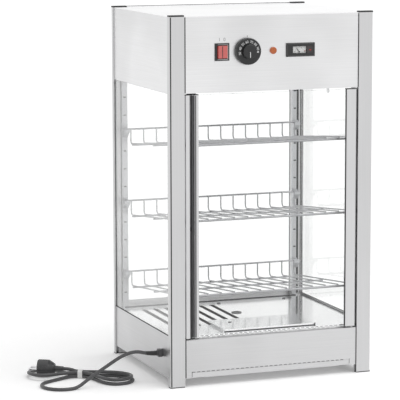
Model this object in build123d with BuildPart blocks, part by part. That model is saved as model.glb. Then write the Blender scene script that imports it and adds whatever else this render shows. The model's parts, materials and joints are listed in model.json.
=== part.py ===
from build123d import *
from math import cos, pi, radians, sin, sqrt, tan
import os

os.makedirs("parts", exist_ok=True)

# Overall size of the case without the cord, in mm
WIDTH = 460.0
DEPTH = 383.0
HEIGHT = 782.0
KNOB_REACH = 16.0
HALF = WIDTH / 2
FRONT = -(DEPTH - KNOB_REACH) / 2
REAR = FRONT + DEPTH

# Levels above the counter
FOOT = 2.0
CAP = 3.0
BASE_LOW = 18.3
BASE_FRONT_TOP = 100.0
BASE_SIDE_TOP = 109.0
BASE_REAR_TOP = 119.0
DECK_TOP = 106.0
HEAD_TOP = HEIGHT - CAP
HEAD_HIGH = 159.0
HEAD_LOW = HEAD_TOP - HEAD_HIGH

# Sheet metal and clearances
SHEET = 1.2
FIT = 0.5
TURN_FIT = 0.05
ROUND_EDGE = 1.0
LEDGE = 18.0
LEDGE_Z = BASE_FRONT_TOP - SHEET

# Corner post extrusion with one groove along each leg
POST_W = 33.0
POST_D = 14.3
POST_R = 5.0
SKIN = 2.5
GROOVE = 5.0
GROOVE_DEEP = 9.0

# Glass panes and their edge strips
PANE = 4.0
STRIP = (GROOVE - PANE) / 2
STRIP_WEB = 1.0

# Shelf standards and clips
STANDARD_W = 13.0
STANDARD_D = 6.0
STANDARD_WALL = 1.2
HOLE_PITCH = 40.0
HOLE_FIRST = 140.0
HOLE_COUNT = 12
HOLE_W = 6.0
HOLE_H = 3.0
CLIP_H = 21.0
CLIP_REACH = 17.0
CLIP_PLATE = 1.5

# Wire shelves, sloping down towards the far side
SHELF_LEVELS = {"bottom": 190.0, "middle": 350.0, "top": 510.0}
RIM_WIRE = 5.0
CROSS_WIRE = 4.0
GRID_WIRE = 3.0
WELD = 0.4
GRID_COUNT = 14
GRID_EDGE = 13.0
WIRE_SHORT = 2.0
RIM_IN = 30.0
FENCE_IN = 34.0
FENCE_HIGH = 32.0

# Door
DOOR_LOW = BASE_FRONT_TOP + 2.5
DOOR_HIGH = HEAD_LOW - 2.0
DOOR_FACE = 0.5
DOOR_THICK = 10.0
HANDLE_LEFT = 35.6
HANDLE_W = 28.4
HINGE_W = 24.5
HINGE_GAP = 2.7
PIVOT_IN = 7.5
PIVOT_BACK = 7.0
PIN_D = 4.0
BUSH_D = 6.5
FLANGE_D = 9.0
FLANGE_H = 1.0
GLASS_LAP = 6.0

# Controls on the front of the head, centres from the left edge
CONTROL_Z = HEAD_LOW + 84.0
SWITCH_X = 116.5
KNOB_X = 173.0
LAMP_X = 231.0
GAUGE_X = 292.7
KNOB_D = 55.0
SHAFT_D = 6.0

# Crumb tray in the foot of the base
TRAY_W = 361.0
TRAY_FACE_TOP = 30.0
TRAY_LONG = 326.0
TRAY_WALL = 1.0
RUNNER_LEDGE = 8.0
FLOOR_Z = 30.8


def slab(x, y, z, mode=Mode.ADD):
    """Box between pairs of limits, x and y from the case centre."""
    mid = ((x[0] + x[1]) / 2, (y[0] + y[1]) / 2, (z[0] + z[1]) / 2)
    with Locations(mid):
        Box(x[1] - x[0], y[1] - y[0], z[1] - z[0], mode=mode)


def span(inset):
    """Limits in x at an equal inset from both sides."""
    return (-HALF + inset, HALF - inset)


def from_left(x):
    return x - HALF


def from_front(y):
    return y + FRONT


def rod(start, end, diameter, mode=Mode.ADD):
    """Round bar between two points."""
    path = Vector(*end) - Vector(*start)
    with BuildSketch(Plane(origin=start, z_dir=path)) as disc:
        Circle(diameter / 2)
    extrude(disc.sketch, amount=path.length, mode=mode)


def export(holders, name):
    """One file for a node; solids that touch stay separate in it."""
    solids = [solid for holder in holders for solid in holder.part.solids()]
    export_step(Compound(solids, label=name), "parts/" + name + ".step")


# Four corner posts
def post_section():
    """Front left post seen from above."""
    with BuildSketch(Plane.XY.offset(FOOT)) as plan:
        with Locations((-HALF + POST_W / 2, FRONT + POST_D / 2)):
            Rectangle(POST_W, POST_D)
        outer = plan.vertices().sort_by(Axis.X)[:2].sort_by(Axis.Y)[0]
        fillet(outer, POST_R)
        side_groove = (-HALF + SKIN + GROOVE / 2, FRONT + POST_D - GROOVE_DEEP / 2)
        with Locations(side_groove):
            Rectangle(GROOVE, GROOVE_DEEP, mode=Mode.SUBTRACT)
        face_groove = (-HALF + POST_W - GROOVE_DEEP / 2, FRONT + SKIN + GROOVE / 2)
        with Locations(face_groove):
            Rectangle(GROOVE_DEEP, GROOVE, mode=Mode.SUBTRACT)
    return plan.sketch


MID_Y = (FRONT + REAR) / 2
SIDE_FLIP = Plane.YZ
DEPTH_FLIP = Plane.XZ.offset(-MID_Y)

with BuildPart() as post_front_left:
    add(post_section())
    extrude(amount=HEAD_TOP - FOOT)
with BuildPart() as post_front_right:
    add(mirror(post_front_left.part, about=SIDE_FLIP, mode=Mode.PRIVATE))
with BuildPart() as post_rear_left:
    add(mirror(post_front_left.part, about=DEPTH_FLIP, mode=Mode.PRIVATE))
with BuildPart() as post_rear_right:
    add(mirror(post_rear_left.part, about=SIDE_FLIP, mode=Mode.PRIVATE))


# Caps on the posts and pads under them
def four_blocks(low, high, corner):
    with BuildSketch(Plane.XY.offset(low)) as plan:
        x_mid = HALF - POST_W / 2
        y_mid = DEPTH / 2 - POST_D / 2
        with Locations((0, MID_Y)):
            with GridLocations(2 * x_mid, 2 * y_mid, 2, 2):
                Rectangle(POST_W, POST_D)
        fillet(plan.vertices(), corner)
    extrude(plan.sketch, amount=high - low)


CAP_R = 2.0
with BuildPart() as post_end_caps:
    four_blocks(HEAD_TOP, HEIGHT, CAP_R)
    four_blocks(0, FOOT, CAP_R)

# Sheet positions shared by the base and the head
FACE_OUT = FRONT + SKIN
FACE_IN = FACE_OUT + SHEET
BACK_OUT = REAR - SKIN
BACK_IN = BACK_OUT - SHEET
SIDE_OUT = SKIN
SIDE_IN = SKIN + SHEET
FACE_SPAN = span(POST_W - GROOVE_DEEP)
FACE_FOLD = span(POST_W)
SIDE_SPAN = (FRONT + POST_D - GROOVE_DEEP, REAR - POST_D + GROOVE_DEEP)
SIDE_FOLD = (FRONT + POST_D, REAR - POST_D)
FOLD = 20.0
DOOR_AXIS = (HALF - POST_W - HINGE_GAP - PIVOT_IN, FRONT + PIVOT_BACK)

# Front panel of the base with the gap for the crumb tray
TRAY_GAP = 0.3
with BuildPart() as base_front_panel:
    slab(FACE_SPAN, (FACE_OUT, FACE_IN), (BASE_LOW, BASE_FRONT_TOP))
    slab(FACE_FOLD, (FACE_OUT, FACE_OUT + FOLD), (LEDGE_Z, BASE_FRONT_TOP))
    tray_half = TRAY_W / 2 + TRAY_GAP
    slab((-tray_half, tray_half), (FACE_OUT, FACE_IN), (BASE_LOW, TRAY_FACE_TOP), Mode.SUBTRACT)
    rod((*DOOR_AXIS, LEDGE_Z), (*DOOR_AXIS, BASE_FRONT_TOP), BUSH_D, Mode.SUBTRACT)

with BuildPart() as base_rear_panel:
    slab(FACE_SPAN, (BACK_IN, BACK_OUT), (BASE_LOW, BASE_REAR_TOP))
    slab(FACE_FOLD, (BACK_OUT - GROOVE, BACK_OUT), (BASE_REAR_TOP - SHEET, BASE_REAR_TOP))
    slab(FACE_FOLD, (BACK_IN - LEDGE, BACK_IN), (LEDGE_Z, BASE_FRONT_TOP))

# Side panels of the base, the left one with the cord hole
GLAND_Y = 58.0
GLAND_Z = 66.0
GLAND_HOLE = 12.0


def base_side(sign):
    def both(a, b):
        return tuple(sorted((sign * (HALF - a), sign * (HALF - b))))
    slab(both(SIDE_OUT, SIDE_IN), SIDE_SPAN, (BASE_LOW, BASE_SIDE_TOP))
    slab(both(SIDE_OUT, SIDE_OUT + GROOVE), SIDE_FOLD, (BASE_SIDE_TOP - SHEET, BASE_SIDE_TOP))
    slab(both(SIDE_IN, SIDE_IN + LEDGE), SIDE_FOLD, (LEDGE_Z, BASE_FRONT_TOP))
    slab(both(SIDE_IN, SIDE_IN + LEDGE), SIDE_FOLD, (BASE_LOW, BASE_LOW + SHEET))


with BuildPart() as base_left_panel:
    base_side(-1)
    gland_at = (from_left(0), from_front(GLAND_Y), GLAND_Z)
    rod(gland_at, (gland_at[0] + 2 * SIDE_IN, gland_at[1], gland_at[2]), GLAND_HOLE, Mode.SUBTRACT)
with BuildPart() as base_right_panel:
    base_side(1)

# Bottom plate of the base, open above the crumb tray, on two skirts
SKIRT_IN = SIDE_IN + FIT
TRAY_HALF_IN = TRAY_W / 2
OPEN_SIDE = 20.0
OPEN_END = 28.0
with BuildPart() as base_bottom_plate:
    plate_y = (FACE_IN + FIT, BACK_IN - FIT)
    slab(FACE_FOLD, plate_y, (FLOOR_Z, FLOOR_Z + SHEET))
    slab(span(SKIRT_IN), (FRONT + POST_D + FIT, REAR - POST_D - FIT), (FLOOR_Z, FLOOR_Z + SHEET))
    for side in (-1, 1):
        edge = sorted((side * (HALF - SKIRT_IN), side * (HALF - SKIRT_IN - SHEET)))
        skirt_y = (FRONT + POST_D + FIT, REAR - POST_D - FIT)
        slab(edge, skirt_y, (BASE_LOW + SHEET, FLOOR_Z))
    hole = TRAY_HALF_IN - OPEN_SIDE
    hole_y = (FRONT + OPEN_END, REAR - OPEN_END)
    slab((-hole, hole), hole_y, (FLOOR_Z, FLOOR_Z + SHEET), Mode.SUBTRACT)

# Angle runners under the bottom plate that carry the tray
RUN_FIT = 0.5
RUN_IN = TRAY_HALF_IN + RUN_FIT
RUN_Y = (FACE_IN + 2 * FIT, REAR - OPEN_END)
with BuildPart() as runner_webs:
    for side in (-1, 1):
        web = sorted((side * RUN_IN, side * (RUN_IN + SHEET)))
        slab(web, RUN_Y, (BASE_LOW, FLOOR_Z))
with BuildPart() as runner_toes:
    for side in (-1, 1):
        toe = sorted((side * (RUN_IN - RUNNER_LEDGE), side * RUN_IN))
        slab(toe, RUN_Y, (BASE_LOW, BASE_LOW + SHEET))

# Crumb tray with its face flush in the base panel
TRAY_Z = BASE_LOW + SHEET
TRAY_TOP = FLOOR_Z - SHEET
TRAY_DEEP_Y = (FACE_IN, FACE_IN + TRAY_LONG)
PULL_W = 26.0
PULL_H = 1.0
WALL_Z = (TRAY_Z + TRAY_WALL, TRAY_TOP)
TRAY_INNER = TRAY_HALF_IN - TRAY_WALL
with BuildPart() as tray_floor:
    slab((-TRAY_HALF_IN, TRAY_HALF_IN), TRAY_DEEP_Y, (TRAY_Z, WALL_Z[0]))
with BuildPart() as tray_sides:
    for side in (-1, 1):
        slab(sorted((side * TRAY_INNER, side * TRAY_HALF_IN)), TRAY_DEEP_Y, WALL_Z)
with BuildPart() as tray_back:
    slab((-TRAY_INNER, TRAY_INNER), (TRAY_DEEP_Y[1] - TRAY_WALL, TRAY_DEEP_Y[1]), WALL_Z)
with BuildPart() as tray_face:
    face_z = (BASE_LOW, TRAY_FACE_TOP - TRAY_GAP)
    slab((-TRAY_HALF_IN, TRAY_HALF_IN), (FACE_OUT, FACE_IN), face_z)
    for side in (-1, 1):
        notch = sorted((side * (TRAY_HALF_IN - PULL_W), side * TRAY_HALF_IN))
        slab(notch, (FACE_OUT, FACE_IN), (BASE_LOW, BASE_LOW + PULL_H), Mode.SUBTRACT)

# Deck plate over the heater with convection slots on its left half
DECK_LOW = DECK_TOP - SHEET
DECK_FRONT = from_front(17.5)
DECK_Y = (DECK_FRONT, BACK_IN - FIT)
SLOT_COUNT = 7
SLOT_FIRST = 54.0
SLOT_PITCH = 26.3
SLOT_W = 11.0
SLOT_Y = (from_front(112.0), from_front(322.0))
PLUG_AT = (from_left(233.0), from_front(218.0))
PLUG_D = 20.0
SCREW_AT = [(234.4, 331.0), (394.9, 332.7)]
SCREW_HOLE = 4.0

with BuildPart() as deck_plate:
    deck_side = span(SIDE_IN + FIT)
    side_y = (DECK_FRONT, REAR - POST_D - FIT)
    slab(deck_side, side_y, (BASE_FRONT_TOP, DECK_TOP))
    slab(span(POST_W + FIT), DECK_Y, (BASE_FRONT_TOP, DECK_TOP))
    under = (deck_side[0] + SHEET, deck_side[1] - SHEET)
    under_y = (DECK_FRONT + SHEET, side_y[1] - SHEET)
    slab(under, under_y, (BASE_FRONT_TOP, DECK_LOW), Mode.SUBTRACT)
    back_y = (DECK_FRONT + SHEET, DECK_Y[1] - SHEET)
    slab(span(POST_W + FIT + SHEET), back_y, (BASE_FRONT_TOP, DECK_LOW), Mode.SUBTRACT)
    slot_mid = from_left(SLOT_FIRST + SLOT_PITCH * (SLOT_COUNT - 1) / 2)
    with BuildSketch(Plane.XY.offset(DECK_LOW)):
        with Locations((slot_mid, sum(SLOT_Y) / 2)):
            with GridLocations(SLOT_PITCH, 1, SLOT_COUNT, 1):
                SlotOverall(SLOT_Y[1] - SLOT_Y[0], SLOT_W, rotation=90)
        with Locations(PLUG_AT):
            Circle(PLUG_D / 2)
        with Locations([(from_left(x), from_front(y)) for x, y in SCREW_AT]):
            Circle(SCREW_HOLE / 2)
    extrude(amount=SHEET, mode=Mode.SUBTRACT)

# Round plug and screws in the deck
PLUG_RIM = 3.0
SCREW_HEAD = 8.0
SCREW_HEAD_H = 2.0
SCREW_LONG = 8.0
COVER_H = 5.0
COVER_SCREW = (from_left(172.0), from_front(101.0))
with BuildPart() as deck_fittings:
    with BuildSketch(Plane.XY.offset(DECK_LOW - SHEET)):
        with Locations(PLUG_AT):
            Circle(PLUG_D / 2)
    extrude(amount=2 * SHEET)
    with BuildSketch(Plane.XY.offset(DECK_TOP)):
        with Locations(PLUG_AT):
            Circle(PLUG_D / 2 + PLUG_RIM / 2)
            Circle(PLUG_D / 2 - PLUG_RIM, mode=Mode.SUBTRACT)
    extrude(amount=SHEET)
    cover_z = DECK_TOP + COVER_H
    rod((*COVER_SCREW, cover_z), (*COVER_SCREW, cover_z + SCREW_HEAD_H / 2), SCREW_HEAD)
    for x, y in SCREW_AT:
        at = (from_left(x), from_front(y))
        rod((*at, DECK_TOP - SCREW_LONG), (*at, DECK_TOP), SCREW_HOLE)
        rod((*at, DECK_TOP), (*at, DECK_TOP + SCREW_HEAD_H), SCREW_HEAD)

# Raised cover on the front of the deck over the heater terminals
COVER_X = (from_left(132.0), from_left(342.0))
COVER_Y = (from_front(31.0), from_front(136.0))
with BuildPart() as element_cover:
    slab(COVER_X, COVER_Y, (DECK_TOP, DECK_TOP + COVER_H))
    rim = element_cover.edges().filter_by(Axis.Z)
    fillet(rim, COVER_H)
    inner_x = (COVER_X[0] + SHEET, COVER_X[1] - SHEET)
    inner_y = (COVER_Y[0] + SHEET, COVER_Y[1] - SHEET)
    slab(inner_x, inner_y, (DECK_TOP, DECK_TOP + COVER_H - SHEET), Mode.SUBTRACT)

# Tubular heater under the deck on two saddles
HEATER_D = 8.0
HEATER_Z = 72.0
HEATER_INSET = 20.5
HEATER_REACH = TRAY_HALF_IN - OPEN_SIDE - HEATER_INSET
HEATER_X = (-HEATER_REACH, HEATER_REACH)
HEATER_Y = (from_front(150.0), from_front(270.0))
SADDLE_W = 14.0
PLATE_TOP = FLOOR_Z + SHEET
with BuildPart() as heating_element:
    with BuildLine() as run:
        arm = (HEATER_Y[1] - HEATER_Y[0]) / 2
        near = (HEATER_X[1], HEATER_Y[0], HEATER_Z)
        far = (HEATER_X[1], HEATER_Y[1], HEATER_Z)
        Line(near, (HEATER_X[0] + arm, HEATER_Y[0], HEATER_Z))
        bend = (HEATER_X[0], (HEATER_Y[0] + HEATER_Y[1]) / 2, HEATER_Z)
        ThreePointArc(run.line @ 1, bend, (HEATER_X[0] + arm, HEATER_Y[1], HEATER_Z))
        Line((HEATER_X[0] + arm, HEATER_Y[1], HEATER_Z), far)
    with BuildSketch(Plane(origin=near, z_dir=(-1, 0, 0))):
        Circle(HEATER_D / 2)
    sweep(path=run.line)

TERMINAL = (26.0, 150.0, 30.0)
with BuildPart() as terminal_block:
    term_x = (HEATER_X[1], HEATER_X[1] + TERMINAL[0])
    mid_y = (HEATER_Y[0] + HEATER_Y[1]) / 2
    term_y = (mid_y - TERMINAL[1] / 2, mid_y + TERMINAL[1] / 2)
    slab(term_x, term_y, (HEATER_Z - TERMINAL[2] / 2, HEATER_Z + TERMINAL[2] / 2))
    foot_x = (term_x[0] + TERMINAL[0] / 2, term_x[1])
    slab(foot_x, term_y, (PLATE_TOP, HEATER_Z - TERMINAL[2] / 2))

with BuildPart() as heater_saddles:
    for x in (HEATER_X[0] + arm, HEATER_X[1] - TERMINAL[1] / 2):
        wide = (x, x + SADDLE_W)
        strap_y = (FRONT + OPEN_END / 2 + FIT, REAR - OPEN_END / 2 - FIT)
        slab(wide, strap_y, (PLATE_TOP, PLATE_TOP + SHEET))
        for y in HEATER_Y:
            stand = (y - HEATER_D / 2, y + HEATER_D / 2)
            slab(wide, stand, (PLATE_TOP, HEATER_Z))
    for y in HEATER_Y:
        rod((HEATER_X[0], y, HEATER_Z), (HEATER_X[1], y, HEATER_Z), HEATER_D, Mode.SUBTRACT)

# Fixed panes at both sides and at the back, in soft edge strips
PANE_TOP = HEAD_LOW - FIT


def side_x(sign, a, b):
    return tuple(sorted((sign * (HALF - a), sign * (HALF - b))))


def side_glass(sign):
    pane_x = side_x(sign, SKIN + STRIP, SKIN + STRIP + PANE)
    pane_y = (SIDE_SPAN[0] + STRIP_WEB, SIDE_SPAN[1] - STRIP_WEB)
    slab(pane_x, pane_y, (BASE_SIDE_TOP, PANE_TOP))


with BuildPart() as side_panes:
    side_glass(-1)
    side_glass(1)
REAR_PANE_Y = (BACK_OUT - STRIP - PANE, BACK_OUT - STRIP)
REAR_PANE_X = (FACE_SPAN[0] + STRIP_WEB, FACE_SPAN[1] - STRIP_WEB)
with BuildPart() as rear_glass:
    slab(REAR_PANE_X, REAR_PANE_Y, (BASE_REAR_TOP, PANE_TOP))

with BuildPart() as glass_strips:
    for sign in (-1, 1):
        for y in ((SIDE_SPAN[0], SIDE_FOLD[0]), (SIDE_FOLD[1], SIDE_SPAN[1])):
            slab(side_x(sign, SKIN, SKIN + GROOVE), y, (BASE_SIDE_TOP, PANE_TOP))
        rear_x = side_x(sign, POST_W - GROOVE_DEEP, POST_W)
        slab(rear_x, (BACK_OUT - GROOVE, BACK_OUT), (BASE_REAR_TOP, PANE_TOP))
    for sign in (-1, 1):
        pane_x = side_x(sign, SKIN + STRIP, SKIN + STRIP + PANE)
        pane_y = (SIDE_SPAN[0] + STRIP_WEB, SIDE_SPAN[1] - STRIP_WEB)
        slab(pane_x, pane_y, (BASE_SIDE_TOP, PANE_TOP), Mode.SUBTRACT)
    slab(REAR_PANE_X, REAR_PANE_Y, (BASE_REAR_TOP, PANE_TOP), Mode.SUBTRACT)

# Head box: control panel, sides, back, roof and ceiling
ROOF_LOW = HEAD_TOP - SHEET
FOLD_TOP = (ROOF_LOW - SHEET, ROOF_LOW)
FOLD_LOW = (HEAD_LOW, HEAD_LOW + SHEET)
CUT_FIT = 0.2
SWITCH_BODY = (27.2, 32.4)
BUSH_BODY = 10.0
LAMP_BODY = 11.8
GAUGE_BODY = (57.6, 23.6)


def head_face(out_y, in_y, inward):
    slab(FACE_SPAN, sorted((out_y, in_y)), (HEAD_LOW, ROOF_LOW))
    for level in (FOLD_TOP, FOLD_LOW):
        slab(FACE_FOLD, sorted((out_y, out_y + inward * FOLD)), level)


with BuildPart() as control_panel:
    head_face(FACE_OUT, FACE_IN, 1)
    with BuildSketch(Plane.XZ.offset(-FACE_IN)):
        with Locations((from_left(SWITCH_X), CONTROL_Z)):
            Rectangle(SWITCH_BODY[0] + CUT_FIT, SWITCH_BODY[1] + CUT_FIT)
        with Locations((from_left(KNOB_X), CONTROL_Z)):
            Circle((BUSH_BODY + CUT_FIT) / 2)
        with Locations((from_left(LAMP_X), CONTROL_Z)):
            Circle((LAMP_BODY + CUT_FIT) / 2)
        with Locations((from_left(GAUGE_X), CONTROL_Z)):
            Rectangle(GAUGE_BODY[0] + CUT_FIT, GAUGE_BODY[1] + CUT_FIT)
    extrude(amount=SHEET, mode=Mode.SUBTRACT)
    rod((*DOOR_AXIS, FOLD_LOW[0]), (*DOOR_AXIS, FOLD_LOW[1]), BUSH_D, Mode.SUBTRACT)
with BuildPart() as top_rear_panel:
    head_face(BACK_OUT, BACK_IN, -1)


def head_side(sign):
    slab(side_x(sign, SIDE_OUT, SIDE_IN), SIDE_SPAN, (HEAD_LOW, ROOF_LOW))
    for level in (FOLD_TOP, FOLD_LOW):
        slab(side_x(sign, SIDE_OUT, SIDE_OUT + FOLD / 2), SIDE_FOLD, level)


with BuildPart() as top_left_panel:
    head_side(-1)
with BuildPart() as top_right_panel:
    head_side(1)

ROOF_LIP = 1.5
with BuildPart() as roof_sheet:
    slab(FACE_FOLD, (FACE_OUT, BACK_OUT), (ROOF_LOW, HEAD_TOP))
    slab(span(SIDE_OUT), SIDE_FOLD, (ROOF_LOW, HEAD_TOP))
    slab(FACE_FOLD, (BACK_OUT - ROOF_LIP, BACK_OUT), (HEAD_TOP, HEAD_TOP + ROOF_LIP))

BULB_D = 6.0
BULB_AT = (HALF - POST_W - 55.0, from_front(38.0))
BULB_LONG = 14.0
CEILING = (FOLD_LOW[1], FOLD_LOW[1] + SHEET)
with BuildPart() as ceiling_plate:
    slab(FACE_FOLD, (FACE_IN + FIT, BACK_IN - FIT), CEILING)
    slab(span(SIDE_IN + FIT), (FRONT + POST_D + FIT, REAR - POST_D - FIT), CEILING)
    rod((*BULB_AT, CEILING[0]), (*BULB_AT, CEILING[1]), BULB_D, Mode.SUBTRACT)
    head_bush = (*DOOR_AXIS, CEILING[0])
    rod(head_bush, (*DOOR_AXIS, CEILING[1]), BUSH_D + 2 * FIT, Mode.SUBTRACT)
with BuildPart() as thermostat_bulb:
    rod((*BULB_AT, CEILING[0] - BULB_LONG), (*BULB_AT, CEILING[1] + BULB_LONG / 2), BULB_D)
    fillet(thermostat_bulb.edges().group_by(Axis.Z)[0], BULB_D / 3)

# Slotted standards inside the posts, from the deck to the ceiling
def standard(sign, wall, inward):
    """Channel with its slotted face towards the shelves."""
    x = side_x(sign, POST_W - STANDARD_W, POST_W)
    face = wall + inward * STANDARD_D
    back = face - inward * STANDARD_WALL
    slab(x, sorted((wall, face)), (DECK_TOP, CEILING[0]))
    inner = (x[0] + STANDARD_WALL, x[1] - STANDARD_WALL)
    slab(inner, sorted((wall, back)), (DECK_TOP, CEILING[0]), Mode.SUBTRACT)
    for step in range(HOLE_COUNT):
        z = HOLE_FIRST + step * HOLE_PITCH
        hole_x = (sum(x) / 2 - HOLE_W / 2, sum(x) / 2 + HOLE_W / 2)
        hole_z = (z - HOLE_H / 2, z + HOLE_H / 2)
        slab(hole_x, sorted((face, back)), hole_z, Mode.SUBTRACT)


FRONT_WALL = FRONT + POST_D
REAR_WALL = REAR - POST_D
with BuildPart() as shelf_standards:
    for sign in (-1, 1):
        standard(sign, FRONT_WALL, 1)
        standard(sign, REAR_WALL, -1)

# Clips hooked into the standards, each with a notch for a shelf wire
NOTCH_FIT = 0.2
NOTCH_SIDE = 0.6
TONGUE_FIT = 0.2
HOOK_DROP = 10.0
CLIP_FOOT = 19.0
CLIP_EAR = 3.0
CLIP_TIP = 6.0
RIM_Y = FRONT + RIM_IN
FENCE_Y = REAR - FENCE_IN
RIM_DROP = 2.0


def clip(sign, wall, inward, level, wire_y, wire_z, wire):
    """Plate, slanted arm and tongue at one height of one standard."""
    face = wall + inward * STANDARD_D
    x = side_x(sign, POST_W - STANDARD_W + TONGUE_FIT, POST_W - TONGUE_FIT)
    tip = face + inward * CLIP_REACH
    inner = face + inward * CLIP_PLATE
    top = level + CLIP_EAR
    low = level - CLIP_FOOT
    arm = [(face, low), (face, top), (inner, top), (inner, level), (tip, level)]
    arm = arm + [(tip, level - CLIP_TIP), (inner, low)]
    with BuildSketch(Plane.YZ.offset(x[0])) as side:
        Polygon(*arm, align=None)
    extrude(side.sketch, amount=x[1] - x[0])
    notch_y = (wire_y - wire / 2 - NOTCH_SIDE, wire_y + wire / 2 + NOTCH_SIDE)
    slab(x, notch_y, (wire_z - wire / 2 - NOTCH_FIT, level), Mode.SUBTRACT)
    mid = sum(x) / 2
    tongue_x = (mid - HOLE_W / 2 + TONGUE_FIT, mid + HOLE_W / 2 - TONGUE_FIT)
    hole_z = level - HOOK_DROP
    tongue_z = (hole_z - HOLE_H / 2 + TONGUE_FIT, hole_z + HOLE_H / 2 - TONGUE_FIT)
    slab(tongue_x, sorted((face, face - inward * 2 * STANDARD_WALL)), tongue_z)


def clips_at(level):
    for sign in (-1, 1):
        clip(sign, FRONT_WALL, 1, level, RIM_Y, level - RIM_DROP, RIM_WIRE)
        clip(sign, REAR_WALL, -1, level, FENCE_Y, level, CROSS_WIRE)


with BuildPart() as shelf_clips:
    for level in SHELF_LEVELS.values():
        clips_at(level)

# Wire shelf: sloping grid hung by its front rim and its back fence
WIRE_END = HALF - POST_W + STANDARD_W - WIRE_SHORT
GRID_HALF = WIRE_END - GRID_EDGE
GRID_PITCH = 2 * GRID_HALF / (GRID_COUNT - 1)
STAND_Y = FENCE_Y - CROSS_WIRE / 2 - GRID_WIRE / 2 + WELD
BEND_R = 8.0
FENCE_BASE = FENCE_HIGH - BEND_R - CROSS_WIRE / 2


def grid_line(level):
    """Start, low corner and end of each bent grid wire, in Y and Z."""
    start_z = level - RIM_DROP + RIM_WIRE / 2 + GRID_WIRE / 2 - WELD
    corner_z = level - FENCE_HIGH
    return (RIM_Y, start_z), (STAND_Y, corner_z), (STAND_Y, level - FENCE_BASE)


def shelf_grid(level):
    start, corner, end = grid_line(level)
    slope = (corner[1] - start[1]) / (corner[0] - start[0])
    for count in range(GRID_COUNT):
        x = -GRID_HALF + count * GRID_PITCH
        with BuildLine() as bent:
            points = [(x, start[0], start[1]), (x, corner[0], corner[1]), (x, end[0], end[1])]
            FilletPolyline(*points, radius=BEND_R)
        with BuildSketch(Plane(origin=bent.line @ 0, z_dir=bent.line % 0)) as disc:
            Circle(GRID_WIRE / 2)
        sweep(disc.sketch, path=bent.line)
    rim_z = level - RIM_DROP
    rod((-WIRE_END, RIM_Y, rim_z), (WIRE_END, RIM_Y, rim_z), RIM_WIRE)
    below = GRID_WIRE / 2 + CROSS_WIRE / 2 - WELD
    edge = GRID_HALF + GRID_WIRE
    for y in ((RIM_Y + STAND_Y) / 2, STAND_Y - 2 * BEND_R):
        z = start[1] + slope * (y - start[0]) - below
        rod((-edge, y, z), (edge, y, z), CROSS_WIRE)


def shelf_fence(level):
    end = grid_line(level)[2]
    for count in range(GRID_COUNT):
        x = -GRID_HALF + count * GRID_PITCH
        rod((x, end[0], end[1]), (x, end[0], level + GRID_WIRE / 2), GRID_WIRE)
    rod((-WIRE_END, FENCE_Y, level), (WIRE_END, FENCE_Y, level), CROSS_WIRE)


with BuildPart() as shelf_bottom_grid:
    shelf_grid(SHELF_LEVELS["bottom"])
with BuildPart() as shelf_bottom_fence:
    shelf_fence(SHELF_LEVELS["bottom"])
with BuildPart() as shelf_middle_grid:
    shelf_grid(SHELF_LEVELS["middle"])
with BuildPart() as shelf_middle_fence:
    shelf_fence(SHELF_LEVELS["middle"])
with BuildPart() as shelf_top_grid:
    shelf_grid(SHELF_LEVELS["top"])
with BuildPart() as shelf_top_fence:
    shelf_fence(SHELF_LEVELS["top"])

# Door stiles, the left one with the finger groove
STILE_CAP = 1.5
STILE_Z = (DOOR_LOW + STILE_CAP, DOOR_HIGH - STILE_CAP)
DOOR_Y = (FRONT + DOOR_FACE, FRONT + DOOR_FACE + DOOR_THICK)
HANDLE_X = (from_left(HANDLE_LEFT), from_left(HANDLE_LEFT + HANDLE_W))
HINGE_X = (DOOR_AXIS[0] + PIVOT_IN - HINGE_W, DOOR_AXIS[0] + PIVOT_IN)
PANE_Y = (sum(DOOR_Y) / 2 - PANE / 2, sum(DOOR_Y) / 2 + PANE / 2)
PANE_X = (HANDLE_X[1] - GLASS_LAP, HINGE_X[0] + GLASS_LAP)
STILE_R = 4.0
EDGE_R = 0.8
GRIP_X = (from_left(44.0), from_left(52.0), from_left(54.8))
GRIP_DEEP = 6.5
GRIP_SAG = 0.5


def handle_section(level):
    with BuildSketch(Plane.XY.offset(level)) as plan:
        with Locations(((HANDLE_X[0] + HANDLE_X[1]) / 2, sum(DOOR_Y) / 2)):
            Rectangle(HANDLE_W, DOOR_THICK)
        fillet(plan.vertices().group_by(Axis.X)[0], EDGE_R)
        with BuildLine():
            floor = DOOR_Y[0] + GRIP_DEEP
            lip = (GRIP_X[0], DOOR_Y[0])
            deep = (GRIP_X[1], floor)
            middle = ((lip[0] + deep[0]) / 2 - GRIP_SAG / 2, (lip[1] + deep[1]) / 2 + GRIP_SAG / 2)
            ThreePointArc(lip, middle, deep)
            Line(deep, (GRIP_X[2], floor))
            Line((GRIP_X[2], floor), (GRIP_X[2], DOOR_Y[0]))
            Line((GRIP_X[2], DOOR_Y[0]), lip)
        make_face(mode=Mode.SUBTRACT)
    return plan.sketch


def hinge_section(level):
    with BuildSketch(Plane.XY.offset(level)) as plan:
        with Locations((sum(HINGE_X) / 2, sum(DOOR_Y) / 2)):
            Rectangle(HINGE_W, DOOR_THICK)
        fillet(plan.vertices().group_by(Axis.X)[-1], STILE_R)
    return plan.sketch


def handle_bar(x, y):
    """Stretch of the stile between limits in plan."""
    extrude(handle_section(STILE_Z[0]), amount=STILE_Z[1] - STILE_Z[0])
    slab((PANE_X[0], HANDLE_X[1]), PANE_Y, STILE_Z, Mode.SUBTRACT)
    slab(x, y, STILE_Z, Mode.INTERSECT)


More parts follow.
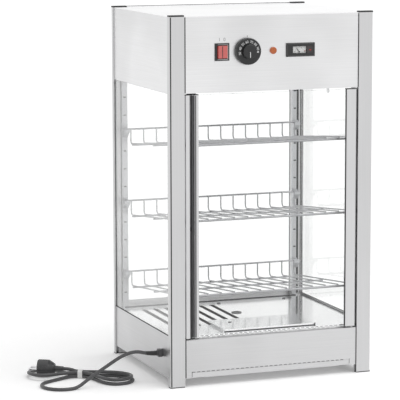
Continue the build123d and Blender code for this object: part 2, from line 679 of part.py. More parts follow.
# The stile is three bars joined along their faces, round the groove
GRIP_FLOOR = DOOR_Y[0] + GRIP_DEEP
with BuildPart() as stile_grip_bar:
    handle_bar((HANDLE_X[0], GRIP_X[1]), (DOOR_Y[0], GRIP_FLOOR))
with BuildPart() as stile_glass_bar:
    handle_bar((GRIP_X[2], HANDLE_X[1]), (DOOR_Y[0], GRIP_FLOOR))
with BuildPart() as stile_back_bar:
    handle_bar(HANDLE_X, (GRIP_FLOOR, DOOR_Y[1]))
PIN_IN = 12.0
PIN_OUT = 5.0
LOW_PIN = ((*DOOR_AXIS, BASE_FRONT_TOP - PIN_OUT), (*DOOR_AXIS, DOOR_LOW + PIN_IN))
HIGH_PIN = ((*DOOR_AXIS, DOOR_HIGH - PIN_IN), (*DOOR_AXIS, HEAD_LOW + PIN_OUT))
with BuildPart() as door_hinge_stile:
    extrude(hinge_section(STILE_Z[0]), amount=STILE_Z[1] - STILE_Z[0])
    slab((HINGE_X[0], PANE_X[1]), PANE_Y, STILE_Z, Mode.SUBTRACT)
    rod(*LOW_PIN, PIN_D, Mode.SUBTRACT)
    rod(*HIGH_PIN, PIN_D, Mode.SUBTRACT)
with BuildPart() as door_stile_caps:
    for level in (DOOR_LOW, STILE_Z[1]):
        extrude(handle_section(level), amount=STILE_CAP)
        extrude(hinge_section(level), amount=STILE_CAP)
    rod(*LOW_PIN, PIN_D, Mode.SUBTRACT)
    rod(*HIGH_PIN, PIN_D, Mode.SUBTRACT)
with BuildPart() as door_glass:
    slab(PANE_X, PANE_Y, STILE_Z)

# Pivot pins of the door and the bushes that they turn in
with BuildPart() as door_pivot_pins:
    rod(*LOW_PIN, PIN_D)
    rod((*DOOR_AXIS, BASE_FRONT_TOP + FLANGE_H), (*DOOR_AXIS, DOOR_LOW), FLANGE_D)
    rod(*HIGH_PIN, PIN_D)
with BuildPart() as door_pivot_bushes:
    low_bush = (*DOOR_AXIS, BASE_FRONT_TOP)
    rod((*DOOR_AXIS, BASE_FRONT_TOP - PIN_OUT), low_bush, BUSH_D)
    rod(low_bush, (*DOOR_AXIS, BASE_FRONT_TOP + FLANGE_H), FLANGE_D)
    high_bush = (*DOOR_AXIS, HEAD_LOW)
    rod(high_bush, (*DOOR_AXIS, HEAD_LOW + PIN_OUT + FLANGE_H), BUSH_D)
    rod((*DOOR_AXIS, HEAD_LOW - FLANGE_H), high_bush, FLANGE_D)
    bore = PIN_D + 2 * TURN_FIT
    rod((*DOOR_AXIS, 0), (*DOOR_AXIS, BASE_FRONT_TOP + FLANGE_H), bore, Mode.SUBTRACT)
    rod((*DOOR_AXIS, HEAD_LOW - FLANGE_H), (*DOOR_AXIS, HEAD_LOW + PIN_OUT + FIT / 2), bore, Mode.SUBTRACT)

# Magnetic catch at the top of the handle stile
STRIKE_T = 0.8
CATCH_GAP = 0.3
CATCH_X = (from_left(44.0), from_left(62.0))
CATCH_LOW = DOOR_HIGH - 10.0
CATCH_DEEP = 8.0
with BuildPart() as door_strike:
    slab(CATCH_X, (DOOR_Y[1], DOOR_Y[1] + STRIKE_T), (CATCH_LOW, STILE_Z[1]))
with BuildPart() as door_magnet:
    magnet_y = DOOR_Y[1] + STRIKE_T + CATCH_GAP
    slab(CATCH_X, (magnet_y, magnet_y + CATCH_DEEP), (CATCH_LOW, HEAD_LOW))

# Rocker switch, tilting to its left and right halves
SWITCH_AT = (from_left(SWITCH_X), CONTROL_Z)
BEZEL = (32.0, 36.6)
BEZEL_T = 2.5
SWITCH_DEEP = 22.0
ROCKER_W = 21.0
ROCKER_H = 26.0
ROCKER_WELL = (23.4, 27.0)
WELL_DEEP = 10.0
AXLE_D = 2.4
AXLE_IN = 1.1
TILT = 7.0
SWITCH_FACE = FACE_OUT - BEZEL_T
AXLE_Y = SWITCH_FACE + 5.5
CREST = 2.0
ROCKER_BACK = 3.2


def centred(mid, size):
    return (mid - size / 2, mid + size / 2)


with BuildPart() as switch_housing:
    slab(centred(SWITCH_AT[0], BEZEL[0]), (SWITCH_FACE, FACE_OUT), centred(SWITCH_AT[1], BEZEL[1]))
    front_rim = switch_housing.faces().sort_by(Axis.Y)[0].edges()
    fillet(front_rim, ROUND_EDGE)
    body_y = (FACE_OUT, FACE_OUT + SWITCH_DEEP)
    slab(centred(SWITCH_AT[0], SWITCH_BODY[0]), body_y, centred(SWITCH_AT[1], SWITCH_BODY[1]))
    well_y = (SWITCH_FACE, SWITCH_FACE + WELL_DEEP)
    well_z = centred(SWITCH_AT[1], ROCKER_WELL[1])
    slab(centred(SWITCH_AT[0], ROCKER_WELL[0]), well_y, well_z, Mode.SUBTRACT)
    axle_z = centred(SWITCH_AT[1], ROCKER_WELL[1] + 2 * AXLE_IN + FIT)
    low_end = (SWITCH_AT[0], AXLE_Y, axle_z[0])
    rod(low_end, (SWITCH_AT[0], AXLE_Y, axle_z[1]), AXLE_D + 2 * TURN_FIT, Mode.SUBTRACT)

with BuildPart() as switch_rocker:
    half = ROCKER_W / 2
    tip_y = SWITCH_FACE - CREST
    outline = [(-half, tip_y), (0, SWITCH_FACE), (half, tip_y), (half, AXLE_Y - CREST / 2)]
    outline = outline + [(half / 3, AXLE_Y + ROCKER_BACK), (-half / 3, AXLE_Y + ROCKER_BACK)]
    outline = outline + [(-half, AXLE_Y - CREST / 2)]
    with BuildSketch(Plane.XY.offset(SWITCH_AT[1] - ROCKER_H / 2)):
        turned = []
        for x, y in outline:
            swing_x = x * cos(radians(TILT)) - (y - AXLE_Y) * sin(radians(TILT))
            swing_y = x * sin(radians(TILT)) + (y - AXLE_Y) * cos(radians(TILT))
            turned.append((SWITCH_AT[0] + swing_x, AXLE_Y + swing_y))
        Polygon(*turned, align=None)
    extrude(amount=ROCKER_H)
    stub_z = centred(SWITCH_AT[1], ROCKER_WELL[1] + 2 * AXLE_IN)
    rod((SWITCH_AT[0], AXLE_Y, stub_z[0]), (SWITCH_AT[0], AXLE_Y, stub_z[1]), AXLE_D)

# Thermostat behind the panel, its shaft and its knob
KNOB_AT = (from_left(KNOB_X), CONTROL_Z)
KNOB_BACK = FACE_OUT - 1.5
KNOB_FACE = FRONT - 7.5
KNOB_TOP = FRONT - KNOB_REACH
GRIP_D = 30.0
GRIP_BAR = 9.0
BUSH_PROUD = 0.5
STAT_BODY = (36.0, 24.0, 30.0)
SHAFT_IN = 18.0


def along_y(at, y0, y1, diameter, mode=Mode.ADD):
    rod((at[0], y0, at[1]), (at[0], y1, at[1]), diameter, mode)


with BuildPart() as thermostat_knob:
    along_y(KNOB_AT, KNOB_BACK, KNOB_FACE, KNOB_D)
    fillet(thermostat_knob.faces().sort_by(Axis.Y)[0].edges(), 1.5)
    along_y(KNOB_AT, KNOB_FACE, KNOB_TOP, GRIP_D)
    fillet(thermostat_knob.faces().sort_by(Axis.Y)[0].edges(), 1.5)
    along_y(KNOB_AT, KNOB_BACK, KNOB_TOP + SHEET * 2, SHAFT_D, Mode.SUBTRACT)
with BuildPart() as thermostat_shaft:
    along_y(KNOB_AT, KNOB_TOP + SHEET * 2, FACE_IN + SHAFT_IN, SHAFT_D)
with BuildPart() as thermostat_body:
    along_y(KNOB_AT, FACE_OUT - BUSH_PROUD, FACE_IN, BUSH_BODY)
    stat_y = (FACE_IN, FACE_IN + STAT_BODY[1])
    slab(centred(KNOB_AT[0], STAT_BODY[0]), stat_y, centred(KNOB_AT[1], STAT_BODY[2]))
    bore = SHAFT_D + 2 * TURN_FIT
    along_y(KNOB_AT, FACE_OUT - BUSH_PROUD, FACE_IN + SHAFT_IN + FIT, bore, Mode.SUBTRACT)

# Pilot lamp
LAMP_AT = (from_left(LAMP_X), CONTROL_Z)
LENS_D = 15.0
LENS_H = 4.0
LAMP_DEEP = 20.0
with BuildPart() as pilot_lens:
    along_y(LAMP_AT, FACE_OUT, FACE_OUT - LENS_H, LENS_D)
    fillet(pilot_lens.faces().sort_by(Axis.Y)[0].edges(), LENS_H / 2)
with BuildPart() as pilot_lamp_body:
    along_y(LAMP_AT, FACE_OUT, FACE_OUT + LAMP_DEEP, LAMP_BODY)

# Temperature gauge with a turning needle behind its window
GAUGE_AT = (from_left(GAUGE_X), CONTROL_Z)
GAUGE_RIM = (64.5, 28.8)
GAUGE_T = 3.5
GAUGE_DEEP = 18.0
WINDOW = (30.5, 14.0)
WINDOW_AT = (from_left(290.0), CONTROL_Z)
GAUGE_FACE = FACE_OUT - GAUGE_T
WINDOW_DEEP = 4.0
DIAL_T = 0.8
LENS_T = 0.8
NEEDLE_T = 0.5
NEEDLE_W = 1.0
NEEDLE_LONG = 9.0
NEEDLE_PIN = 1.0
NEEDLE_AT = (WINDOW_AT[0], WINDOW_AT[1] - WINDOW[1] / 2 + 2.6)
NEEDLE_REST = 40.0
NEEDLE_Y = GAUGE_FACE + WINDOW_DEEP - DIAL_T - 1.0

with BuildPart() as gauge_housing:
    rim_z = centred(GAUGE_AT[1], GAUGE_RIM[1])
    slab(centred(GAUGE_AT[0], GAUGE_RIM[0]), (GAUGE_FACE, FACE_OUT), rim_z)
    fillet(gauge_housing.faces().sort_by(Axis.Y)[0].edges(), ROUND_EDGE)
    deep_y = (FACE_OUT, FACE_OUT + GAUGE_DEEP)
    slab(centred(GAUGE_AT[0], GAUGE_BODY[0]), deep_y, centred(GAUGE_AT[1], GAUGE_BODY[1]))
    window_y = (GAUGE_FACE, GAUGE_FACE + WINDOW_DEEP)
    window_z = centred(WINDOW_AT[1], WINDOW[1])
    slab(centred(WINDOW_AT[0], WINDOW[0]), window_y, window_z, Mode.SUBTRACT)
    pin_end = GAUGE_FACE + WINDOW_DEEP + 3.0
    along_y(NEEDLE_AT, GAUGE_FACE + WINDOW_DEEP, pin_end, NEEDLE_PIN + 2 * TURN_FIT, Mode.SUBTRACT)
with BuildPart() as gauge_dial:
    dial_y = (GAUGE_FACE + WINDOW_DEEP - DIAL_T, GAUGE_FACE + WINDOW_DEEP)
    slab(centred(WINDOW_AT[0], WINDOW[0]), dial_y, centred(WINDOW_AT[1], WINDOW[1]))
    along_y(NEEDLE_AT, dial_y[0], dial_y[1], NEEDLE_PIN + 2 * TURN_FIT, Mode.SUBTRACT)
with BuildPart() as gauge_lens:
    lens_y = (GAUGE_FACE + LENS_T / 2, GAUGE_FACE + LENS_T * 1.5)
    slab(centred(WINDOW_AT[0], WINDOW[0]), lens_y, centred(WINDOW_AT[1], WINDOW[1]))
with BuildPart() as gauge_needle:
    with BuildSketch(Plane.XZ.offset(-NEEDLE_Y)):
        with Locations(Location((NEEDLE_AT[0], NEEDLE_AT[1]), NEEDLE_REST)):
            with Locations((0, NEEDLE_LONG / 2)):
                Rectangle(NEEDLE_W, NEEDLE_LONG)
            Circle(NEEDLE_W * 1.6)
    extrude(amount=NEEDLE_T)
    along_y(NEEDLE_AT, NEEDLE_Y - NEEDLE_T / 2, pin_end - FIT, NEEDLE_PIN)

# Cord gland through the left base panel
CORD_D = 7.5
FLANGE_W = 17.0
FLANGE_T = 3.0
GLAND_BODY = (13.0, 16.0)
GLAND_END = -HALF - 11.0
GLAND_TIP = 11.0
GLAND_TIP_LONG = 3.0
GLAND_NUT = 5.0
GLAND_AT = (from_front(GLAND_Y), GLAND_Z)


def along_x(x0, x1, diameter, mode=Mode.ADD):
    rod((x0, *GLAND_AT), (x1, *GLAND_AT), diameter, mode)


with BuildPart() as cord_gland:
    panel_x = (-HALF + SIDE_OUT, -HALF + SIDE_IN)
    along_x(panel_x[0], panel_x[0] - FLANGE_T, FLANGE_W)
    block_x = (GLAND_END + GLAND_TIP_LONG, panel_x[0] - FLANGE_T)
    slab(block_x, centred(GLAND_AT[0], GLAND_BODY[0]), centred(GLAND_AT[1], GLAND_BODY[1]))
    fillet(cord_gland.edges().filter_by(Axis.X).group_by(Axis.X)[0], ROUND_EDGE)
    along_x(block_x[0], GLAND_END, GLAND_TIP)
    along_x(panel_x[0], panel_x[1] + GLAND_NUT, GLAND_HOLE - CUT_FIT)
    along_x(panel_x[1], panel_x[1] + GLAND_NUT, FLANGE_W)

# Loose stretch of the cord, points chosen by hand
FLOOR_FIT = 0.05
LIE_Z = CORD_D / 2 + FLOOR_FIT
HANK_START = (-447.5, -39.5, LIE_Z)
LEAD_POINTS = [
    (GLAND_END, *GLAND_AT),
    (-261.0, -125.5, 66.0),
    (-286.0, -122.0, 73.0),
    (-315.0, -117.0, 64.5),
    (-352.0, -113.5, 41.0),
    (-386.0, -113.5, 21.0),
    (-414.0, -120.0, LIE_Z),
    (-439.5, -126.9, LIE_Z),
    (-463.8, -118.5, LIE_Z),
    (-479.3, -98.0, LIE_Z),
    (-480.6, -72.4, LIE_Z),
    (-467.6, -50.7, LIE_Z),
    HANK_START,
]
BEND_SHARE = 0.45


def bend_radii(points):
    """Largest arc that each corner's two runs allow."""
    places = [Vector(*point) for point in points]
    radii = []
    for before, corner, after in zip(places, places[1:], places[2:]):
        arriving = corner - before
        leaving = after - corner
        half_turn = radians(arriving.get_angle(leaving)) / 2
        shorter = min(arriving.length, leaving.length)
        radii.append(BEND_SHARE * shorter / tan(half_turn))
    return radii


def cord_line(points):
    return FilletPolyline(*points, radius=bend_radii(points))


def cord_tube(line):
    with BuildSketch(Plane(origin=line @ 0, z_dir=line % 0)) as disc:
        Circle(CORD_D / 2)
    sweep(disc.sketch, path=line)


with BuildLine() as lead_run:
    cord_line(LEAD_POINTS)
with BuildPart() as cord_lead:
    cord_tube(lead_run.wire())

# Hank of two loops lying on the counter, with two rounded ends
HANK_AT = (-376.0, -18.0)
HANK_TURN = radians(-29.0)
HANK_LAYERS = 2
LAYER_RISE = 8.2
WAIST = 18.0
STRAND_SIDE = 4.1
TIE_T = 0.8
TIE_FIT = 0.25
TIE_W = 10.0
WAIST_Z = LIE_Z + TIE_T + TIE_FIT
NEAR_END = {"middle": (74.0, -26.0), "reach": 44.0, "half": 44.0, "turns": (-90, -30, 30, 90)}
FAR_END = {"middle": (-76.0, 8.0), "reach": 38.0, "half": 56.0, "turns": (90, 150, 210, 270)}
UPPER_SMALLER = 3.0
ENTRY = (-40.0, -34.0)

# Plug inside the far end of the hank
PLUG_SIZE = 37.0
PLUG_FACE = -93.0
PLUG_BODY = 24.0
PLUG_TAIL = 12.0
PLUG_REAR_D = 22.0
RELIEF_LONG = 19.0
RELIEF_D = (13.0, 10.0)
PLUG_SIDE = 2.0
CORD_STUB = 14.0
PLUG_Z = PLUG_SIZE / 2 + FLOOR_FIT
CORD_TO_PLUG = PLUG_FACE + PLUG_BODY + PLUG_TAIL + RELIEF_LONG


def on_counter(along, across, height):
    """Point given along and across the hank."""
    x = HANK_AT[0] + along * cos(HANK_TURN) - across * sin(HANK_TURN)
    y = HANK_AT[1] + along * sin(HANK_TURN) + across * cos(HANK_TURN)
    return (x, y, height)


def round_end(end, layer, heights):
    """Corners round one end of the hank."""
    corners = []
    small = UPPER_SMALLER * layer
    for turn, height in zip(end["turns"], heights):
        swing = radians(turn)
        along = end["middle"][0] + (end["reach"] - small) * cos(swing) / cos(pi / 6)
        across = end["middle"][1] + (end["half"] - small) * sin(swing)
        corners.append(on_counter(along, across, height))
    return corners


def hank_points():
    points = [HANK_START, on_counter(*ENTRY, LIE_Z)]
    for layer in range(HANK_LAYERS):
        low = LIE_Z + layer * LAYER_RISE
        tied = WAIST_Z + layer * LAYER_RISE
        points.append(on_counter(-WAIST, -STRAND_SIDE, tied))
        points.append(on_counter(WAIST, -STRAND_SIDE, tied))
        points = points + round_end(NEAR_END, layer, [low] * 4)
        points.append(on_counter(WAIST, STRAND_SIDE, tied))
        if layer < HANK_LAYERS - 1:
            points.append(on_counter(-WAIST, STRAND_SIDE, tied))
            climb = [low, low, low + LAYER_RISE, low + LAYER_RISE]
            points = points + round_end(FAR_END, 0, climb)
    points.append(on_counter(-TIE_W, STRAND_SIDE, tied))
    points.append(on_counter(CORD_TO_PLUG + CORD_STUB, PLUG_SIDE, PLUG_Z))
    points.append(on_counter(CORD_TO_PLUG, PLUG_SIDE, PLUG_Z))
    return points


with BuildLine() as hank_run:
    cord_line(hank_points())
with BuildPart() as cord_hank:
    cord_tube(hank_run.wire())


def least_gap(line, step=2.0, apart=45.0):
    """Smallest clearance of a tube to its own other turns."""
    count = int(line.length / step)
    places = [line @ (index / count) for index in range(count + 1)]
    skip = int(apart / step)
    gap = line.length
    for index, place in enumerate(places):
        for other in places[index + skip:]:
            gap = min(gap, (other - place).length)
    return gap - CORD_D


def report_cord():
    print("lead radii", [round(radius, 1) for radius in bend_radii(LEAD_POINTS)])
    print("hank radii", [round(radius, 1) for radius in bend_radii(hank_points())])
    print("hank least gap", round(least_gap(hank_run.wire()), 2))
    for name, run, tube in (("lead", lead_run, cord_lead), ("hank", hank_run, cord_hank)):
        long = run.wire().length
        share = tube.part.volume / (long * pi * CORD_D ** 2 / 4)
        print(name, "length", round(long, 1), "volume share", round(share, 4))


report_cord()

# Tie round the waist of the hank
with BuildPart() as cord_tie:
    tie_plane = Plane(origin=on_counter(-TIE_W / 2, 0, 0), x_dir=(-sin(HANK_TURN), cos(HANK_TURN), 0),
                      z_dir=(cos(HANK_TURN), sin(HANK_TURN), 0))
    inner_w = 2 * STRAND_SIDE + CORD_D + 2 * TIE_FIT
    inner_h = (HANK_LAYERS - 1) * LAYER_RISE + CORD_D + 2 * TIE_FIT
    tie_mid = WAIST_Z + (HANK_LAYERS - 1) * LAYER_RISE / 2
    with BuildSketch(tie_plane) as ring:
        with Locations((0, tie_mid)):
            RectangleRounded(inner_w + 2 * TIE_T, inner_h + 2 * TIE_T, CORD_D / 2 + TIE_T)
            RectangleRounded(inner_w, inner_h, CORD_D / 2, mode=Mode.SUBTRACT)
    extrude(amount=TIE_W)

# Round plug with two pins, side grips and a tapered cord sleeve
PIN_SPREAD = 19.0
PIN_ROUND = 4.8
PIN_LONG = 19.0
GRIP_CUT = 6.0
GRIP_FLAT = 3.0
with BuildPart() as mains_plug:
    plug_plane = Plane(origin=on_counter(PLUG_FACE, PLUG_SIDE, PLUG_Z), x_dir=(0, 0, 1),
                       z_dir=(cos(HANK_TURN), sin(HANK_TURN), 0))
    with BuildSketch(plug_plane):
        Circle(PLUG_SIZE / 2)
    extrude(amount=PLUG_BODY)
    with BuildSketch(plug_plane.offset(PLUG_BODY)):
        Circle(PLUG_SIZE / 2)
    with BuildSketch(plug_plane.offset(PLUG_BODY + PLUG_TAIL)):
        Circle(PLUG_REAR_D / 2)
    loft(ruled=True)
    sleeve_z = PLUG_BODY + PLUG_TAIL
    with BuildSketch(plug_plane.offset(sleeve_z)):
        Circle(RELIEF_D[0] / 2)
    with BuildSketch(plug_plane.offset(sleeve_z + RELIEF_LONG)):
        Circle(RELIEF_D[1] / 2)
    loft(ruled=True)
    with BuildSketch(plug_plane):
        with Locations((PLUG_SIZE / 2, 0), (-PLUG_SIZE / 2, 0)):
            Rectangle(2 * GRIP_FLAT, GRIP_CUT)
    extrude(amount=PLUG_BODY, mode=Mode.SUBTRACT)
    with BuildSketch(plug_plane):
        with Locations((0, PIN_SPREAD / 2), (0, -PIN_SPREAD / 2)):
            Circle(PIN_ROUND / 2)
    extrude(amount=-PIN_LONG)

# Files, one for each named piece
NODES = {
    "post_front_left": post_front_left,
    "post_front_right": post_front_right,
    "post_rear_left": post_rear_left,
    "post_rear_right": post_rear_right,
    "post_end_caps": post_end_caps,
    "base_front_panel": base_front_panel,
    "base_rear_panel": base_rear_panel,
    "base_left_panel": base_left_panel,
    "base_right_panel": base_right_panel,
    "base_bottom_plate": base_bottom_plate,
    "tray_runners": (runner_webs, runner_toes),
    "crumb_tray": (tray_floor, tray_sides, tray_back, tray_face),
    "deck_plate": deck_plate,
    "deck_fittings": deck_fittings,
    "element_cover": element_cover,
    "heating_element": heating_element,
    "terminal_block": terminal_block,
    "heater_saddles": heater_saddles,
    "side_panes": side_panes,
    "rear_glass": rear_glass,
    "glass_strips": glass_strips,
    "control_panel": control_panel,
    "top_rear_panel": top_rear_panel,
    "top_left_panel": top_left_panel,
    "top_right_panel": top_right_panel,
    "roof_sheet": roof_sheet,
    "ceiling_plate": ceiling_plate,
    "thermostat_bulb": thermostat_bulb,
    "shelf_standards": shelf_standards,
    "shelf_clips": shelf_clips,
    "shelf_bottom_grid": shelf_bottom_grid,
    "shelf_bottom_fence": shelf_bottom_fence,
    "shelf_middle_grid": shelf_middle_grid,
    "shelf_middle_fence": shelf_middle_fence,
    "shelf_top_grid": shelf_top_grid,
    "shelf_top_fence": shelf_top_fence,
    "door_handle_stile": (stile_grip_bar, stile_glass_bar, stile_back_bar),
    "door_hinge_stile": door_hinge_stile,
    "door_stile_caps": door_stile_caps,
    "door_glass": door_glass,
    "door_pivot_pins": door_pivot_pins,
    "door_pivot_bushes": door_pivot_bushes,
    "door_strike": door_strike,
    "door_magnet": door_magnet,
    "switch_housing": switch_housing,
    "switch_rocker": switch_rocker,
    "thermostat_knob": thermostat_knob,
    "thermostat_shaft": thermostat_shaft,
    "thermostat_body": thermostat_body,
    "pilot_lens": pilot_lens,
    "pilot_lamp_body": pilot_lamp_body,
    "gauge_housing": gauge_housing,
    "gauge_dial": gauge_dial,
    "gauge_lens": gauge_lens,
    "gauge_needle": gauge_needle,
    "cord_gland": cord_gland,
    "cord_lead": cord_lead,
    "cord_hank": cord_hank,
    "cord_tie": cord_tie,
    "mains_plug": mains_plug,
}
for name, holders in NODES.items():
    export(holders if isinstance(holders, tuple) else (holders,), name)
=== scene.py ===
import bmesh
import bpy
import json
from math import cos, pi, radians, sin
from mathutils import Matrix, Vector
from mathutils.bvhtree import BVHTree


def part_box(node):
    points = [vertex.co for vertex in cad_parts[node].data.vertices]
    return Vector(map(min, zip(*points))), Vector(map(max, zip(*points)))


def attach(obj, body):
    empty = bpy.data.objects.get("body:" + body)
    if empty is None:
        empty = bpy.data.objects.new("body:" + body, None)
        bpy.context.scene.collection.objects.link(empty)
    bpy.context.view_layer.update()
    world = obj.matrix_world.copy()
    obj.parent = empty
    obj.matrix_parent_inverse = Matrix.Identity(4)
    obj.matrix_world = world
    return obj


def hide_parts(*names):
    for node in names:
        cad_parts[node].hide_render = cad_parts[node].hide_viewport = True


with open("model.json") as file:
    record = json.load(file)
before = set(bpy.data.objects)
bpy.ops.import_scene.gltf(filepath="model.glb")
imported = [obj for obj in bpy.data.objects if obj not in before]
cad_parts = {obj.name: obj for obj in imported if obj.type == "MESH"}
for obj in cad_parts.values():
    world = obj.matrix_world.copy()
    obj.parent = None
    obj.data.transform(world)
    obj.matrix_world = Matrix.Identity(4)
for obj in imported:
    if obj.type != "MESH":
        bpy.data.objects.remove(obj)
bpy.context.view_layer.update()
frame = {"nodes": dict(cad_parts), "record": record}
NODES = frame["nodes"]
MM = 0.001

# Camera at the photograph's place
CAMERA_AT = (-1.7337, -4.3920, 1.0589)
CAMERA_YAW = radians(20.46)
CAMERA_PITCH = radians(8.38)
CAMERA_ROLL = radians(-0.12)
CAMERA_LENS = 196.2
SENSOR = 36.0


def make_camera():
    data = bpy.data.cameras.new("photo_camera")
    data.lens = CAMERA_LENS
    data.sensor_width = SENSOR
    data.clip_end = 100.0
    camera = bpy.data.objects.new("photo_camera", data)
    bpy.context.scene.collection.objects.link(camera)
    look = Vector((
        sin(CAMERA_YAW) * cos(CAMERA_PITCH),
        cos(CAMERA_YAW) * cos(CAMERA_PITCH),
        -sin(CAMERA_PITCH),
    ))
    turn = look.to_track_quat("-Z", "Y").to_matrix().to_4x4()
    roll = Matrix.Rotation(CAMERA_ROLL, 4, "Z")
    camera.matrix_world = Matrix.Translation(CAMERA_AT) @ turn @ roll
    bpy.context.scene.camera = camera


# Node helpers shared by the materials
def new_material(name):
    material = bpy.data.materials.new(name)
    material.use_nodes = True
    tree = material.node_tree
    shader = tree.nodes["Principled BSDF"]
    return material, tree, shader


def node(tree, kind, **values):
    made = tree.nodes.new(kind)
    for key, value in values.items():
        setattr(made, key, value)
    return made


def noise(tree, scale, detail=5.0, roughness=0.6):
    """Noise in the object's own coordinates, with a scale for each axis."""
    place = node(tree, "ShaderNodeTexCoord")
    mapping = node(tree, "ShaderNodeMapping")
    mapping.inputs["Scale"].default_value = scale
    texture = node(tree, "ShaderNodeTexNoise")
    texture.inputs["Scale"].default_value = 1.0
    texture.inputs["Detail"].default_value = detail
    texture.inputs["Roughness"].default_value = roughness
    tree.links.new(place.outputs["Object"], mapping.inputs["Vector"])
    tree.links.new(mapping.outputs["Vector"], texture.inputs["Vector"])
    return texture.outputs["Fac"]


def ramp(tree, factor, dark, light, low=0.3, high=0.7):
    made = node(tree, "ShaderNodeValToRGB")
    made.color_ramp.elements[0].position = low
    made.color_ramp.elements[1].position = high
    made.color_ramp.elements[0].color = (*dark, 1.0)
    made.color_ramp.elements[1].color = (*light, 1.0)
    tree.links.new(factor, made.inputs["Fac"])
    return made.outputs["Color"]


def spread(tree, factor, low, high):
    made = node(tree, "ShaderNodeMapRange")
    made.inputs["From Min"].default_value = 0.25
    made.inputs["From Max"].default_value = 0.75
    made.inputs["To Min"].default_value = low
    made.inputs["To Max"].default_value = high
    tree.links.new(factor, made.inputs["Value"])
    return made.outputs["Result"]


def bump(tree, shader, factor, strength, depth):
    made = node(tree, "ShaderNodeBump")
    made.inputs["Strength"].default_value = strength
    made.inputs["Distance"].default_value = depth
    tree.links.new(factor, made.inputs["Height"])
    tree.links.new(made.outputs["Normal"], shader.inputs["Normal"])


def tint(colour, factor):
    return tuple(min(1.0, channel * factor) for channel in colour)


# The Mix node's colour sockets share their names with its number sockets
MIX_FIRST = 6
MIX_SECOND = 7
MIX_RESULT = 2
WHITE = (1.0, 1.0, 1.0)


def multiply_colours(tree, first, second):
    made = node(tree, "ShaderNodeMix", data_type="RGBA", blend_type="MULTIPLY")
    made.inputs["Factor"].default_value = 1.0
    tree.links.new(first, made.inputs[MIX_FIRST])
    tree.links.new(second, made.inputs[MIX_SECOND])
    return made.outputs[MIX_RESULT]


# Grain frequencies for the directions that sheet and bar are brushed in
CLOUD_SCALE = 3.2
GRAIN_DEPTH = 0.04 * MM
SKIN_DEPTH = 0.05 * MM
ALONG_LEVEL = (7.0, 7.0, 1100.0)
ALONG_WIDTH = (7.0, 1100.0, 7.0)
ALONG_HEIGHT = (900.0, 900.0, 3.0)
WIRE_GRAIN = (90.0, 90.0, 90.0)


def metal(name, colour, grain, roughness, streak=0.05, metallic=1.0, tone_and_reflection_cloud=0.95):
    """Brushed or drawn metal: fine streaks, broad clouds and smudges. The broad clouds are random
    tone and partly painted reflection.
    """
    material, tree, shader = new_material(name)
    shader.inputs["Metallic"].default_value = metallic
    streaks = noise(tree, grain, 4.0)
    clouds = noise(tree, (CLOUD_SCALE, CLOUD_SCALE, CLOUD_SCALE), 2.0)
    fine = ramp(tree, streaks, tint(colour, 1 - streak), tint(colour, 1 + streak))
    broad = ramp(tree, clouds, (tone_and_reflection_cloud, tone_and_reflection_cloud, tone_and_reflection_cloud), WHITE, 0.35, 0.6)
    shade = multiply_colours(tree, fine, broad)
    tree.links.new(shade, shader.inputs["Base Color"])
    smudge = spread(tree, clouds, roughness * 0.85, roughness * 1.2)
    tree.links.new(smudge, shader.inputs["Roughness"])
    bump(tree, shader, streaks, 0.25, GRAIN_DEPTH)
    return material


def plastic(name, colour, roughness, speck=0.12, scale=1400.0, strength=0.12):
    """Moulded plastic or rubber with a fine grained skin."""
    material, tree, shader = new_material(name)
    grains = noise(tree, (scale, scale, scale), 3.0)
    clouds = noise(tree, (30.0, 30.0, 30.0), 3.0)
    fine = ramp(tree, grains, tint(colour, 1 - speck), tint(colour, 1 + speck))
    broad = ramp(tree, clouds, (0.88, 0.88, 0.88), WHITE)
    tree.links.new(multiply_colours(tree, fine, broad), shader.inputs["Base Color"])
    skin = spread(tree, clouds, roughness * 0.9, roughness * 1.15)
    tree.links.new(skin, shader.inputs["Roughness"])
    bump(tree, shader, grains, strength, SKIN_DEPTH)
    return material


def clear(name, colour, index=1.45):
    """Clear glass that lets lamp light through to what stands behind it."""
    material, tree, shader = new_material(name)
    shader.inputs["Transmission Weight"].default_value = 1.0
    shader.inputs["IOR"].default_value = index
    smears = noise(tree, (6.0, 6.0, 6.0), 3.0)
    tree.links.new(ramp(tree, smears, tint(colour, 0.985), colour), shader.inputs["Base Color"])
    tree.links.new(spread(tree, smears, 0.0, 0.02), shader.inputs["Roughness"])
    rays = node(tree, "ShaderNodeLightPath")
    thin = node(tree, "ShaderNodeBsdfTransparent")
    either = node(tree, "ShaderNodeMath", operation="MAXIMUM")
    mixed = node(tree, "ShaderNodeMixShader")
    tree.links.new(rays.outputs["Is Shadow Ray"], either.inputs[0])
    tree.links.new(rays.outputs["Is Diffuse Ray"], either.inputs[1])
    tree.links.new(either.outputs[0], mixed.inputs["Fac"])
    tree.links.new(shader.outputs["BSDF"], mixed.inputs[1])
    tree.links.new(thin.outputs["BSDF"], mixed.inputs[2])
    tree.links.new(mixed.outputs["Shader"], tree.nodes["Material Output"].inputs["Surface"])
    return material


def glowing(name, colour, glow, strength, roughness=0.25):
    """Coloured translucent plastic that looks lit from behind."""
    material = plastic(name, colour, roughness, 0.05, 300.0, 0.03)
    shader = material.node_tree.nodes["Principled BSDF"]
    shader.inputs["Emission Color"].default_value = (*glow, 1.0)
    shader.inputs["Emission Strength"].default_value = strength
    shader.inputs["Coat Weight"].default_value = 0.4
    shader.inputs["Coat Roughness"].default_value = 0.08
    return material


